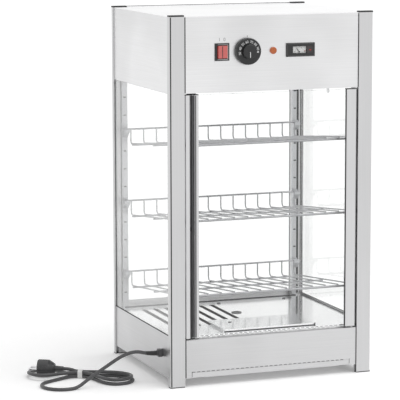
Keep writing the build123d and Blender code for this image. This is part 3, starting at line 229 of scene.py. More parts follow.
def make_materials():
    """One material for each slot of the record, under the slot's name, and a few more."""
    return {
        "post_aluminium": metal("post_aluminium", (0.60, 0.60, 0.605), ALONG_HEIGHT, 0.34, 0.03),
        "door_aluminium": metal("door_aluminium", (0.63, 0.63, 0.635), ALONG_HEIGHT, 0.30, 0.03),
        # Near-black metal for the handle's finger channel: painted shade.
        "grip_channel_shade": metal("grip_channel_shade", (0.16, 0.16, 0.165), ALONG_HEIGHT, 0.34, 0.06, 0.8),
        # The panel and base stainless take deeper clouds: random tone, and partly painted
        # reflection across the sheet.
        "stainless_panel": metal(
            "stainless_panel", (0.76, 0.76, 0.765), ALONG_LEVEL, 0.36, 0.04, tone_and_reflection_cloud=0.86
        ),
        # Darker copy of the panel stainless for the base panels: painted shade.
        "stainless_base_shaded": metal(
            "stainless_base_shaded", (0.63, 0.63, 0.635), ALONG_LEVEL, 0.38, 0.04, tone_and_reflection_cloud=0.88
        ),
        "stainless_tray": metal("stainless_tray", (0.62, 0.62, 0.625), ALONG_LEVEL, 0.36),
        "deck_steel": metal("deck_steel", (0.93, 0.93, 0.935), ALONG_WIDTH, 0.15),
        "inner_steel": metal("inner_steel", (0.62, 0.62, 0.63), ALONG_WIDTH, 0.42),
        # The roof is paler and less metallic than the same stainless elsewhere: painted light on
        # the top.
        "roof_white": metal("roof_white", (0.95, 0.95, 0.955), ALONG_WIDTH, 0.42, 0.02, 0.35),
        "bright_steel": metal("bright_steel", (0.78, 0.78, 0.79), ALONG_HEIGHT, 0.2, 0.03),
        # Near-black steel for the shade inside the base: painted shade.
        "painted_shade_inside": metal("painted_shade_inside", (0.13, 0.13, 0.135), ALONG_WIDTH, 0.5, 0.08, 0.6),
        "dark_fitting": metal("dark_fitting", (0.14, 0.14, 0.145), ALONG_WIDTH, 0.4, 0.08, 0.8),
        "heater_sheath": metal("heater_sheath", (0.22, 0.21, 0.21), ALONG_LEVEL, 0.5, 0.15, 0.7),
        "standard_zinc": metal("standard_zinc", (0.56, 0.565, 0.58), ALONG_HEIGHT, 0.34, 0.05),
        "chrome_wire": metal("chrome_wire", (0.38, 0.38, 0.395), WIRE_GRAIN, 0.30, 0.04),
        "ceramic": plastic("ceramic", (0.78, 0.75, 0.69), 0.55),
        "black_plastic": plastic("black_plastic", (0.018, 0.018, 0.019), 0.42),
        "cap_plastic": plastic("cap_plastic", (0.03, 0.03, 0.031), 0.5),
        "knob_black": plastic("knob_black", (0.014, 0.014, 0.015), 0.34),
        "soft_strip": plastic("soft_strip", (0.06, 0.06, 0.062), 0.6),
        "cord_black": plastic("cord_black", (0.075, 0.075, 0.078), 0.38, 0.15, 900.0),
        "plug_grey": plastic("plug_grey", (0.05, 0.05, 0.052), 0.38),
        "tie_white": plastic("tie_white", (0.86, 0.86, 0.85), 0.5, 0.04),
        "dial_white": plastic("dial_white", (0.88, 0.88, 0.87), 0.5, 0.02),
        "needle_black": plastic("needle_black", (0.03, 0.03, 0.03), 0.4),
        "rocker_red": glowing("rocker_red", (0.60, 0.12, 0.11), (1.0, 0.14, 0.12), 0.05, 0.16),
        "lens_amber": glowing("lens_amber", (0.46, 0.10, 0.012), (1.0, 0.22, 0.02), 0.07, 0.15),
        "clear_glass": clear("clear_glass", (0.99, 0.995, 0.992)),
        "gauge_window": clear("gauge_window", (0.97, 0.975, 0.975), 1.3),
        "print_white": plastic("print_white", (0.88, 0.88, 0.88), 0.5, 0.03),
        "print_grey": plastic("print_grey", (0.24, 0.24, 0.24), 0.5, 0.05),
        "print_dark": plastic("print_dark", (0.06, 0.06, 0.06), 0.5, 0.05),
        "print_red": plastic("print_red", (0.45, 0.03, 0.025), 0.5, 0.05),
        "smoked_window": plastic("smoked_window", (0.05, 0.038, 0.038), 0.18, 0.05, 300.0, 0.02),
        "lens_ring": plastic("lens_ring", (0.22, 0.05, 0.01), 0.3, 0.05),
        "rim_dark": plastic("rim_dark", (0.10, 0.10, 0.10), 0.3, 0.05),
        # Pale grey for the rocker well's rim: painted highlight.
        "painted_rim_highlight": plastic("painted_rim_highlight", (0.50, 0.49, 0.49), 0.3, 0.05),
        "seam_shadow": plastic("seam_shadow", (0.022, 0.022, 0.023), 0.7),
    }


# Nodes that look unlike the rest of their slot
OWN_LOOKS = {
    # The base panels take the darker copy of the panel stainless: painted shade.
    "base_front_panel": "stainless_base_shaded",
    "base_left_panel": "stainless_base_shaded",
    "base_right_panel": "stainless_base_shaded",
    # The bottom plate inside the base is near black: painted shade.
    "base_bottom_plate": "painted_shade_inside",
    "deck_fittings": "dark_fitting",
}


def paint_nodes(materials):
    for part in frame["record"]["subparts"]:
        shown = NODES[part["node"]]
        look = OWN_LOOKS.get(part["node"], part["material_slot"])
        shown.data.materials.clear()
        shown.data.materials.append(materials[look])


# Building small pieces
BAR_EDGE = 0.1 * MM


def finish_piece(made, material, body):
    made.data.materials.append(material)
    bpy.context.scene.collection.objects.link(made)
    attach(made, body)
    return made


def mesh_piece(name, shape, smooth=False):
    data = bpy.data.meshes.new(name)
    shape.to_mesh(data)
    shape.free()
    for face in data.polygons:
        face.use_smooth = smooth
    return bpy.data.objects.new(name, data)


def add_bar(shape, middle, size, turn=0.0, edge=0.0):
    """Bevelled bar; turn is about the Y axis through its middle."""
    made = bmesh.ops.create_cube(shape, size=1.0)["verts"]
    place = Matrix.Translation(middle) @ Matrix.Rotation(turn, 4, "Y")
    bmesh.ops.transform(shape, matrix=place @ Matrix.Diagonal((*size, 1.0)), verts=made)
    if edge:
        lines = list({line for corner in made for line in corner.link_edges})
        bmesh.ops.bevel(shape, geom=lines, offset=edge, segments=2, affect="EDGES")


def lettering(name, words, middle, size, turn, thickness=0.1 * MM):
    """Raised figures that face -Y; turn is about the Y axis."""
    data = bpy.data.curves.new(name, "FONT")
    data.body = words
    data.size = size
    data.extrude = thickness
    data.align_x = "CENTER"
    data.align_y = "CENTER"
    made = bpy.data.objects.new(name, data)
    upright = Matrix.Rotation(radians(90), 4, "X")
    made.matrix_world = Matrix.Translation(middle) @ Matrix.Rotation(turn, 4, "Y") @ upright
    return made


# Knob: figures round the face, pointer and fluted rim
KNOB_FIGURES = ("30", "40", "50", "60", "70", "80", "90")
KNOB_FIRST = radians(-100)
KNOB_STEP = radians(29)
FIGURE_RING = 0.73
FIGURE_SIZE = 7.2 * MM
FIGURE_LIFT = 0.05 * MM
KNOB_FACE = 8.5 * MM
POINTER_W = 1.7 * MM
POINTER_SHARE = 0.42
OFF_MARK_W = 3.2 * MM
OFF_MARK_DROP = 1.5 * MM
RIM_RIBS = 48
RIB_W = 1.5 * MM
RIB_HIGH = 0.9 * MM
RIB_SHARE = 0.66


def knob_details(materials):
    low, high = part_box("thermostat_knob")
    middle = (low + high) / 2
    radius = (high.x - low.x) / 2
    face_y = low.y + KNOB_FACE
    for index, words in enumerate(KNOB_FIGURES):
        turn = KNOB_FIRST + KNOB_STEP * index
        at = Vector((
            middle.x + radius * FIGURE_RING * sin(turn),
            face_y - FIGURE_LIFT,
            middle.z + radius * FIGURE_RING * cos(turn),
        ))
        figure = lettering("knob_figure_" + words, words, at, FIGURE_SIZE, turn)
        finish_piece(figure, materials["print_white"], "thermostat_dial")
    shape = bmesh.new()
    long = radius * POINTER_SHARE
    at = Vector((middle.x, low.y + FIGURE_LIFT, middle.z - long * 0.55))
    add_bar(shape, at, (POINTER_W, 0.3 * MM, long), 0.0, BAR_EDGE)
    pointer = mesh_piece("knob_pointer", shape)
    finish_piece(pointer, materials["print_white"], "thermostat_dial")
    shape = bmesh.new()
    side_x = middle.x + radius * FIGURE_RING
    side = Vector((side_x, face_y - FIGURE_LIFT, middle.z - OFF_MARK_DROP))
    add_bar(shape, side, (OFF_MARK_W, 0.2 * MM, OFF_MARK_W), radians(45), 0.08 * MM)
    off_mark = mesh_piece("knob_off_mark", shape)
    finish_piece(off_mark, materials["print_white"], "thermostat_dial")
    shape = bmesh.new()
    depth = high.y - face_y
    rib_y = (high.y + face_y) / 2
    for index in range(RIM_RIBS):
        turn = 2 * pi * index / RIM_RIBS
        at = Vector((middle.x + radius * sin(turn), rib_y, middle.z + radius * cos(turn)))
        add_bar(shape, at, (RIB_W, depth * RIB_SHARE, RIB_HIGH), turn, 0.25 * MM)
    ribs = mesh_piece("knob_rim_ribs", shape)
    finish_piece(ribs, materials["knob_black"], "thermostat_dial")


# Pilot lamp: two moulded rings on the lens
LENS_RING = 5.2 * MM
INNER_RING = LENS_RING * 0.45
RING_SINK = 0.35 * MM
RING_SIDES = 40
TUBE_SIDES = 8


def add_torus(shape, middle, ring, thick):
    """Torus about an axis along Y."""
    rows = []
    for index in range(RING_SIDES):
        turn = 2 * pi * index / RING_SIDES
        out = Vector((cos(turn), 0, sin(turn)))
        row = []
        for step in range(TUBE_SIDES):
            swing = 2 * pi * step / TUBE_SIDES
            away = out * (ring + thick * cos(swing)) + Vector((0, thick * sin(swing), 0))
            row.append(shape.verts.new(middle + away))
        rows.append(row)
    for index, row in enumerate(rows):
        after = rows[(index + 1) % RING_SIDES]
        for step in range(TUBE_SIDES):
            other = (step + 1) % TUBE_SIDES
            shape.faces.new((row[step], row[other], after[other], after[step]))
    bmesh.ops.recalc_face_normals(shape, faces=shape.faces)


def lamp_details(materials):
    low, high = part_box("pilot_lens")
    middle = (low + high) / 2
    shape = bmesh.new()
    front = Vector((middle.x, low.y + RING_SINK, middle.z))
    add_torus(shape, front, LENS_RING, 0.45 * MM)
    add_torus(shape, front, INNER_RING, 0.4 * MM)
    rings = mesh_piece("pilot_lens_rings", shape, smooth=True)
    finish_piece(rings, materials["lens_ring"], "case")


# Printing on the control panel
MARK_SIDE = 5.6 * MM
MARK_UP = 7.2 * MM
MARK_SIZE = 10.0 * MM
PRINT_THICK = 0.06 * MM
INDEX_UP = 3.6 * MM
INDEX_SIZE = (1.0 * MM, 0.12 * MM, 3.4 * MM)


def panel_printing(materials):
    low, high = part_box("switch_housing")
    panel_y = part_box("pilot_lens")[1].y
    for words, side in (("1", -1), ("0", 1)):
        at = Vector(((low.x + high.x) / 2 + side * MARK_SIDE, panel_y, high.z + MARK_UP))
        mark = lettering("switch_mark_" + words, words, at, MARK_SIZE, 0.0, PRINT_THICK)
        finish_piece(mark, materials["print_grey"], "case")
    low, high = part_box("thermostat_knob")
    shape = bmesh.new()
    at = Vector(((low.x + high.x) / 2, panel_y, high.z + INDEX_UP))
    add_bar(shape, at, INDEX_SIZE)
    tick = mesh_piece("knob_index_mark", shape)
    finish_piece(tick, materials["print_dark"], "case")


# Gauge: scale ticks round the needle's pin, a red limit mark and two figures
TICK_COUNT = 13
TICK_RING = 8.6 * MM
TICK_ARC = radians(130)
TICK_LONG = 2.2 * MM
TICK_SHORT = 1.3 * MM
PIN_UP = 2.6 * MM
LIMIT_AT = (2.2 * MM, 1.5 * MM)
LIMIT_SIZE = (1.6 * MM, 0.1 * MM, 3.2 * MM)
SCALE_SIDE = 10.6 * MM
SCALE_FIGURE = 3.0 * MM


def gauge_details(materials):
    low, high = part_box("gauge_dial")
    pin_x = (low.x + high.x) / 2
    pin_z = low.z + PIN_UP
    front = low.y
    shape = bmesh.new()
    for index in range(TICK_COUNT):
        turn = -TICK_ARC / 2 + TICK_ARC * index / (TICK_COUNT - 1)
        long = TICK_LONG if index % 3 == 0 else TICK_SHORT
        reach = TICK_RING + long / 2
        at = Vector((pin_x + reach * sin(turn), front, pin_z + reach * cos(turn)))
        add_bar(shape, at, (0.5 * MM, 0.1 * MM, long), turn)
    scale = mesh_piece("gauge_scale", shape)
    finish_piece(scale, materials["print_dark"], "case")
    shape = bmesh.new()
    at = Vector((high.x - LIMIT_AT[0], front, pin_z + LIMIT_AT[1]))
    add_bar(shape, at, LIMIT_SIZE)
    mark = mesh_piece("gauge_limit_mark", shape)
    finish_piece(mark, materials["print_red"], "case")
    for words, side in (("30", -1), ("110", 1)):
        at = Vector((pin_x + side * SCALE_SIDE, front, pin_z + 0.3 * MM))
        figure = lettering("gauge_figure_" + words, words, at, SCALE_FIGURE, 0.0, 0.05 * MM)
        finish_piece(figure, materials["print_dark"], "case")


def row_of_bars(name, material, body, bars):
    """One piece of bars, each given by its low and high corner in mm."""
    shape = bmesh.new()
    for low, high in bars:
        first = Vector(low) * MM
        last = Vector(high) * MM
        add_bar(shape, (first + last) / 2, last - first, 0.0, BAR_EDGE)
    return finish_piece(mesh_piece(name, shape), material, body)


# Joints, channels and holes darkened with painted shade, in mm: the faces and edges that the dark
# strips lie on, and how far they stand proud
PANEL_Y = -181.0
SEAM_PROUD = 0.25
POST_EDGE = 197.0
POST_FACE = -183.5
PANEL_TOP = 777.5
HEAD_LOW = 620.5
BASE_TOP = 100.0
BASE_LOW = 19.0
LEFT_JOINT_W = 3.3
RIGHT_JOINT_W = 1.3
CORNER_X = (-228.8, -226.2)
CORNER_Z = (3.0, 778.0)
GLASS_Z = (110.0, 620.0)
DOOR_Z = (105.0, 616.0)
HINGE_SIDE = ((193.0, -183.25), (194.3, -183.0))
HINGE_SEAT = ((168.4, -181.2), (169.8, -179.8))
REAR_SEAT = ((-206.0, 176.6, 106.0), (206.0, 177.8, 107.8))
ROOF_REAR = ((-196.0, 195.2, 780.5), (196.0, 196.2, 781.4))
SEAT_X = (226.0, 227.7)
SEAT_Y = (-168.0, 185.0)
SEAT_Z = (108.6, 110.6)
REAR_WALL = 185.2
STANDARD_FACE = 179.2
FRONT_STANDARD_FACE = -163.2
STANDARD_EDGE = 210.0
HOLE_X = 203.5
HOLE_FIRST = 140.0
HOLE_PITCH = 40.0
HOLE_COUNT = 12
HOLE_HALF = (3.1, 0.2, 1.6)
HOLE_SET = 0.9


def panel_seam_shade(dark):
    """Dark lines of painted shade in the gaps between the panels and the posts, and down the front
    left corner.
    """
    front = PANEL_Y - SEAM_PROUD
    joints = []
    for low, high in ((HEAD_LOW, PANEL_TOP), (BASE_LOW, BASE_TOP)):
        joints.append(((-POST_EDGE, front, low), (-POST_EDGE + LEFT_JOINT_W, PANEL_Y, high)))
        joints.append(((POST_EDGE - RIGHT_JOINT_W, front, low), (POST_EDGE, PANEL_Y, high)))
    row_of_bars("panel_joint_shade", dark, "case", joints)
    low = (CORNER_X[0], POST_FACE - SEAM_PROUD, CORNER_Z[0])
    high = (CORNER_X[1], POST_FACE, CORNER_Z[1])
    row_of_bars("post_corner_shade", dark, "case", [(low, high)])


def standard_seam_shade(dark):
    """Painted shade: dark strips in the channels beside the rear standards, and a dark bar behind
    every hole for the shade in its depth.
    """
    low, high = GLASS_Z
    edge = STANDARD_EDGE
    wall = REAR_WALL - 0.4
    inner = [
        ((edge - 2.4, STANDARD_FACE - 0.2, low), (edge, STANDARD_FACE, high)),
        ((edge, wall, low), (edge + 5.0, REAR_WALL, high)),
        ((219.0, wall, low), (221.2, REAR_WALL, high)),
        ((-edge - 1.3, wall, 120.0), (-edge - 0.2, REAR_WALL, high)),
    ]
    row_of_bars("standard_channel_shade", dark, "case", inner)
    half_x, half_y, half_z = HOLE_HALF
    hole_shades = []
    for side in (-1, 1):
        x = side * HOLE_X
        for face, inward in ((STANDARD_FACE, 1), (FRONT_STANDARD_FACE, -1)):
            y = face + inward * HOLE_SET
            for index in range(HOLE_COUNT):
                z = HOLE_FIRST + index * HOLE_PITCH
                back = (x - half_x, y - half_y, z - half_z)
                hole_shades.append((back, (x + half_x, y + half_y, z + half_z)))
    row_of_bars("standard_hole_shade", dark, "case", hole_shades)


def glass_seam_shade(dark):
    """Dark strips of painted shade along the door's hinge side, the panes' low seats and the roof's
    rear edge.
    """
    low, high = DOOR_Z
    edge = [((*HINGE_SIDE[0], low), (*HINGE_SIDE[1], high))]
    row_of_bars("hinge_side_shade", dark, "door", edge)
    seat = [((*HINGE_SEAT[0], low), (*HINGE_SEAT[1], high))]
    row_of_bars("hinge_glass_seat_shade", dark, "door", seat)
    low_seat = [
        ((-SEAT_X[1], SEAT_Y[0], SEAT_Z[0]), (-SEAT_X[0], SEAT_Y[1], SEAT_Z[1])),
        ((SEAT_X[0], SEAT_Y[0], SEAT_Z[0]), (SEAT_X[1], SEAT_Y[1], SEAT_Z[1])),
        REAR_SEAT,
    ]
    row_of_bars("pane_low_seat_shade", dark, "case", low_seat)
    row_of_bars("roof_rear_shade", dark, "case", [ROOF_REAR])


# A ray from here, in metres, meets the front of every node
PROBE_FROM = -0.3


def front_points(name, spots):
    """Where the node's front face lies at each (x, z) in mm, found by a ray along +Y."""
    data = NODES[name].data
    corners = [NODES[name].matrix_world @ vertex.co for vertex in data.vertices]
    faces = [tuple(face.vertices) for face in data.polygons]
    surface = BVHTree.FromPolygons(corners, faces)
    found = []
    for x, z in spots:
        hit = surface.ray_cast(Vector((x * MM, PROBE_FROM, z * MM)), Vector((0, 1, 0)))[0]
        if hit is not None:
            found.append(hit)
    return found


def ribbon(name, points, half_width, proud, material, body):
    """Thin closed strip that follows the points and stands a little proud of them."""
    shape = bmesh.new()
    rings = []
    for point in points:
        front = point - Vector((0, proud, 0))
        back = point + Vector((0, proud / 2, 0))
        places = (front - half_width, front + half_width, back + half_width, back - half_width)
        rings.append([shape.verts.new(place) for place in places])
    for before, after in zip(rings, rings[1:]):
        for index in range(4):
            other = (index + 1) % 4
            shape.faces.new((before[index], before[other], after[other], after[index]))
    shape.faces.new(rings[0])
    shape.faces.new(list(reversed(rings[-1])))
    bmesh.ops.recalc_face_normals(shape, faces=shape.faces)
    return finish_piece(mesh_piece(name, shape), material, body)


# Strip of painted shade down the handle's finger channel, and the ridge between the rocker's lenses
CHANNEL_SHADE_X = (-182.6, -171.2)
CHANNEL_SHADE_STEPS = 16
CHANNEL_SHADE_PROUD = 0.15 * MM
RIDGE_STEPS = 12
RIDGE_W = 1.5
RIDGE_SHORT = 2.5
RIDGE_PROUD = 0.35 * MM


def door_and_rocker_strips(materials):
    """Dark strip of painted shade in the finger channel, and the ridge between the rocker's two
    lenses.
    """
    low, high = (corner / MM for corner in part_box("door_handle_stile"))
    middle_z = (low.z + high.z) / 2
    first, last = CHANNEL_SHADE_X
    step = (last - first) / CHANNEL_SHADE_STEPS
    spots = [(first + step * index, middle_z) for index in range(CHANNEL_SHADE_STEPS + 1)]
    half = Vector((0, 0, (high.z - low.z) / 2 - 1.0)) * MM
    points = front_points("door_handle_stile", spots)
    channel_shade = materials["grip_channel_shade"]
    ribbon("grip_channel_shade", points, half, CHANNEL_SHADE_PROUD, channel_shade, "door")
    low, high = (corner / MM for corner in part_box("switch_rocker"))
    middle_x = (low.x + high.x) / 2
    first, last = low.z + RIDGE_SHORT, high.z - RIDGE_SHORT
    step = (last - first) / RIDGE_STEPS
    spots = [(middle_x, first + step * index) for index in range(RIDGE_STEPS + 1)]
    half = Vector((RIDGE_W / 2, 0, 0)) * MM
    points = front_points("switch_rocker", spots)
    ridge = materials["black_plastic"]
    ribbon("rocker_ridge", points, half, RIDGE_PROUD, ridge, "switch_lever")


DASH = 7.0
DASH_GAP = 4.0
TRAY_END = 181.0
TRAY_ROW_Z = 30.4
TRAY_SIDE_Z = (21.0, 32.0)
DECK_END = 190.0
DECK_FRONT = -166.0
DECK_ROW_Z = (101.0, 104.2)
LOW_ROW_START = -186.0


def dashes(first, last, y, z, deep, high):
    """Row of short bars between two places in X, standing out of the face at y."""
    bars = []
    count = int((last - first) / (DASH + DASH_GAP))
    for index in range(count):
        x = first + index * (DASH + DASH_GAP)
        bars.append(((x, y - deep, z), (x + DASH, y, z + high)))
    return bars


def edge_row_shade(materials):
    """Painted shade: rows of dark dashes along the crumb tray's opening and the deck's front step,
    and dark strips on the element cover's edges.
    """
    dark = materials["seam_shadow"]
    bars = dashes(-TRAY_END, TRAY_END, PANEL_Y, TRAY_ROW_Z, 0.2, 1.1)
    low_z, high_z = TRAY_SIDE_Z
    for side in (-1, 1):
        x = side * TRAY_END
        bars.append(((x - 0.5, PANEL_Y - 0.2, low_z), (x + 0.5, PANEL_Y, high_z)))
    row_of_bars("tray_opening_shade", dark, "case", bars)
    bars = dashes(-DECK_END, DECK_END, DECK_FRONT, DECK_ROW_Z[1], 0.3, 1.1)
    bars = bars + dashes(LOW_ROW_START, DECK_END, DECK_FRONT, DECK_ROW_Z[0], 0.3, 1.3)
    row_of_bars("deck_step_shade", dark, "case", bars)
    low, high = (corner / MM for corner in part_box("element_cover"))
    rim = [
        ((low.x, low.y - 0.5, low.z), (high.x, low.y, low.z + 1.6)),
        ((high.x, low.y, low.z), (high.x + 0.6, high.y, low.z + 1.6)),
        ((high.x - 2.0, low.y - 0.6, low.z), (high.x + 0.6, low.y, high.z)),
    ]
    row_of_bars("cover_edge_shade", dark, "case", rim)


RIM_SINK = 0.2
LIP_W = 1.1
LIP_IN = 1.5
LIP_DROP = 1.2
LIP_PROUD = 0.35


def switch_and_gauge_rims(materials):
    """Pale strips painted as highlights on the rocker well's rim, and the gauge's side window, mark
    and dark lip.
    """
    low, high = (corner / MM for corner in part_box("switch_rocker"))
    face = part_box("switch_housing")[0].y / MM
    back = face + RIM_SINK
    bars = [
        ((high.x + 0.3, face - 0.3, low.z), (high.x + 1.5, back, high.z)),
        ((low.x, face - 0.3, low.z - 1.4), (high.x + 1.5, back, low.z - 0.3)),
        ((low.x, face - 0.3, high.z + 0.3), (high.x + 1.5, back, high.z + 1.1)),
    ]
    row_of_bars("switch_rim_highlight", materials["painted_rim_highlight"], "case", bars)
    low, high = (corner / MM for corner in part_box("gauge_housing"))
    window_low, window_high = (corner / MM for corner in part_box("gauge_dial"))
    face = low.y
    back = face + RIM_SINK
    first = (window_high.x + 1.2, face - 0.15, window_low.z)
    bars = [(first, (high.x - 6.0, back, window_high.z))]
    row_of_bars("gauge_side_window", materials["smoked_window"], "case", bars)
    bars = [((high.x - 13.0, face - 0.3, 702.0), (high.x - 9.0, face - 0.1, 704.4))]
    row_of_bars("gauge_side_mark", materials["print_red"], "case", bars)
    front = face - LIP_PROUD
    left, right = low.x + LIP_IN, high.x - LIP_IN
    under, over = low.z + LIP_DROP, high.z - LIP_DROP
    bars = [
        ((left, front, under), (right, back, under + LIP_W)),
        ((left, front, over - LIP_W), (right, back, over)),
        ((left, front, under), (left + LIP_W, back, over)),
        ((right - LIP_W, front, under), (right, back, over)),
    ]
    row_of_bars("gauge_lip", materials["rim_dark"], "case", bars)


# Cord: one spline over the lead's points and the hank's loops, in mm as in the CAD
CORD_D = 7.5
LIE_Z = 3.8
LEAD_POINTS = [
    (-241.0, -125.5, 66.0),
    (-261.0, -125.5, 66.0),
    (-286.0, -122.0, 73.0),
    (-315.0, -117.0, 64.5),
    (-352.0, -113.5, 41.0),
    (-386.0, -113.5, 21.0),
    (-414.0, -120.0, LIE_Z),
    (-439.5, -126.9, LIE_Z),
    (-463.8, -118.5, LIE_Z),
    (-479.3, -98.0, LIE_Z),
    (-480.6, -72.4, LIE_Z),
    (-467.6, -50.7, LIE_Z),
    (-447.5, -39.5, LIE_Z),
]
HANK_AT = (-376.0, -18.0)
HANK_TURN = radians(-29.0)
LAYER_RISE = 8.2
WAIST = 18.0
STRAND_SIDE = 4.1
WAIST_Z = LIE_Z + 1.05
NEAR_END = {"middle": (74.0, -26.0), "reach": 44.0, "half": 44.0, "turns": (-90, -30, 30, 90)}
FAR_END = {"middle": (-76.0, 8.0), "reach": 38.0, "half": 56.0, "turns": (90, 150, 210, 270)}
UPPER_SMALLER = 3.0
ENTRY = (-40.0, -34.0)
TAIL = [(-10.0, STRAND_SIDE), (-24.0, 2.0), (-38.0, 2.0)]
PLUG_Z = 18.55


def on_counter(along, across, height):
    x = HANK_AT[0] + along * cos(HANK_TURN) - across * sin(HANK_TURN)
    y = HANK_AT[1] + along * sin(HANK_TURN) + across * cos(HANK_TURN)
    return (x, y, height)


def round_end(end, layer, heights):
    corners = []
    small = UPPER_SMALLER * layer
    for turn, height in zip(end["turns"], heights):
        swing = radians(turn)
        along = end["middle"][0] + (end["reach"] - small) * cos(swing) / cos(pi / 6)
        across = end["middle"][1] + (end["half"] - small) * sin(swing)
        corners.append(on_counter(along, across, height))
    return corners


def hank_points():
    points = [on_counter(*ENTRY, LIE_Z)]
    for layer in range(2):
        low = LIE_Z + layer * LAYER_RISE
        tied = WAIST_Z + layer * LAYER_RISE
        points.append(on_counter(-WAIST, -STRAND_SIDE, tied))
        points.append(on_counter(WAIST, -STRAND_SIDE, tied))
        points = points + round_end(NEAR_END, layer, [low] * 4)
        points.append(on_counter(WAIST, STRAND_SIDE, tied))
        if layer == 0:
            points.append(on_counter(-WAIST, STRAND_SIDE, tied))
            climb = [low, low, low + LAYER_RISE, low + LAYER_RISE]
            points = points + round_end(FAR_END, 0, climb)
    points.append(on_counter(*TAIL[0], WAIST_Z + LAYER_RISE))
    points.append(on_counter(*TAIL[1], PLUG_Z))
    points.append(on_counter(*TAIL[2], PLUG_Z))
    return points


def nurbs_curve(name, points):
    data = bpy.data.curves.new(name, "CURVE")
    data.dimensions = "3D"
    data.resolution_u = 16
    spline = data.splines.new("NURBS")
    spline.points.add(len(points) - 1)
    for slot_point, point in zip(spline.points, points):
        slot_point.co = (*(value * MM for value in point), 1.0)
    spline.order_u = 3
    spline.use_endpoint_u = True
    return data


def route_line(data):
    """Points along the cord's own spline, with no bevel on it yet."""
    probe = bpy.data.objects.new("cord_probe", data)
    bpy.context.scene.collection.objects.link(probe)
    bpy.context.view_layer.update()
    graph = bpy.context.evaluated_depsgraph_get()
    mesh = bpy.data.meshes.new_from_object(probe.evaluated_get(graph))
    line = [vertex.co.copy() for vertex in mesh.vertices]
    bpy.data.meshes.remove(mesh)
    bpy.data.objects.remove(probe)
    return line


SLEEVE_LONG = 24.0 * MM
SLEEVE_ROOT = 5.6 * MM
SLEEVE_TIP = 4.3 * MM
SLEEVE_RIBS = 7
SLEEVE_SIDES = 24
SLEEVE_CUT = 0.55 * MM
STEPS_A_RIB = 4


def ring_at(shape, middle, forward, radius):
    side = forward.cross(Vector((0, 0, 1))).normalized()
    up = side.cross(forward).normalized()
    ring = []
    for index in range(SLEEVE_SIDES):
        turn = 2 * pi * index / SLEEVE_SIDES
        ring.append(shape.verts.new(middle + radius * (cos(turn) * side + sin(turn) * up)))
    return ring


def cord_sleeve(line, materials):
    """Tapered, ribbed strain relief over the first stretch of the cord."""
    shape = bmesh.new()
    start = line[0]
    forward = (line[1] - line[0]).normalized()
    rings = []
    steps = SLEEVE_RIBS * STEPS_A_RIB
    for index in range(steps + 1):
        share = index / steps
        radius = SLEEVE_ROOT + (SLEEVE_TIP - SLEEVE_ROOT) * share
        if index % STEPS_A_RIB >= STEPS_A_RIB / 2 and index < steps:
            radius = radius - SLEEVE_CUT
        travelled = SLEEVE_LONG * share
        middle = start + forward * travelled
        for before, after in zip(line, line[1:]):
            if (before - start).length <= travelled <= (after - start).length:
                part = travelled - (before - start).length
                middle = before + (after - before).normalized() * part
                break
        rings.append(ring_at(shape, middle, forward, radius))
    for before, after in zip(rings, rings[1:]):
        for index in range(SLEEVE_SIDES):
            other = (index + 1) % SLEEVE_SIDES
            shape.faces.new((before[index], before[other], after[other], after[index]))
    shape.faces.new(list(reversed(rings[0])))
    shape.faces.new(rings[-1])
    bmesh.ops.recalc_face_normals(shape, faces=shape.faces)
    sleeve = mesh_piece("cord_sleeve", shape)
    return finish_piece(sleeve, materials["black_plastic"], "case")


PIN_LONG = 19.0
PIN_D = 4.95
PIN_SPREAD = 19.0
PLUG_FACE = -93.0
PLUG_MIDDLE = 2.0
PLUG_BODY = 24.0
PLUG_R = 18.5
PIN_SIDES = 24
GRIP_TURNS = (-36, -24, -12, 0, 12, 24, 36)
GRIP_BAR = (PLUG_BODY * 0.72 * MM, 0.9 * MM, 1.3 * MM)


def plug_details(materials):
    """Bright pins and moulded grip bars on the plug."""
    along = (Vector(on_counter(1, 0, 0)) - Vector(on_counter(0, 0, 0))).normalized()
    side = Vector((-along.y, along.x, 0))
    place = Matrix((along, side, Vector((0, 0, 1)))).transposed().to_4x4()
    shape = bmesh.new()
    for hand in (-1, 1):
        start = PLUG_FACE - PIN_LONG / 2
        at = Vector(on_counter(start, PLUG_MIDDLE + hand * PIN_SPREAD / 2, PLUG_Z)) * MM
        pin = bmesh.ops.create_cone(
            shape,
            cap_ends=True,
            segments=PIN_SIDES,
            radius1=PIN_D / 2 * MM,
            radius2=PIN_D / 2 * MM,
            depth=PIN_LONG * MM,
        )["verts"]
        turned = Matrix.Translation(at) @ place @ Matrix.Rotation(radians(90), 4, "Y")
        bmesh.ops.transform(shape, matrix=turned, verts=pin)
    pins = finish_piece(
        mesh_piece("plug_pins", shape), materials["bright_steel"], "case"
    )
    shape = bmesh.new()
    for hand in (0, 180):
        for turn in GRIP_TURNS:
            swing = radians(hand + turn)
            offset = PLUG_MIDDLE + PLUG_R * cos(swing)
            at = Vector(on_counter(PLUG_FACE + PLUG_BODY / 2, offset, PLUG_Z + PLUG_R * sin(swing)))
            made = bmesh.ops.create_cube(shape, size=1.0)["verts"]
            size = Matrix.Diagonal((*GRIP_BAR, 1.0))
            turned = Matrix.Translation(at * MM) @ place @ Matrix.Rotation(swing, 4, "X") @ size
            bmesh.ops.transform(shape, matrix=turned, verts=made)
    bars = finish_piece(
        mesh_piece("plug_grip_bars", shape), materials["plug_grey"], "case"
    )
    return [pins, bars]


def make_cord(materials):
    points = LEAD_POINTS + hank_points()
    data = nurbs_curve("mains_cord", points)
    line = route_line(data)
    data.bevel_depth = CORD_D / 2 * MM
    data.bevel_resolution = 6
    cord = bpy.data.objects.new("mains_cord", data)
    finish_piece(cord, materials["cord_black"], "case")
    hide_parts("cord_lead", "cord_hank")
    sleeve = cord_sleeve(line, materials)
    on_it = [NODES["cord_gland"], NODES["cord_tie"], NODES["mains_plug"], sleeve]
    on_it = on_it + plug_details(materials)


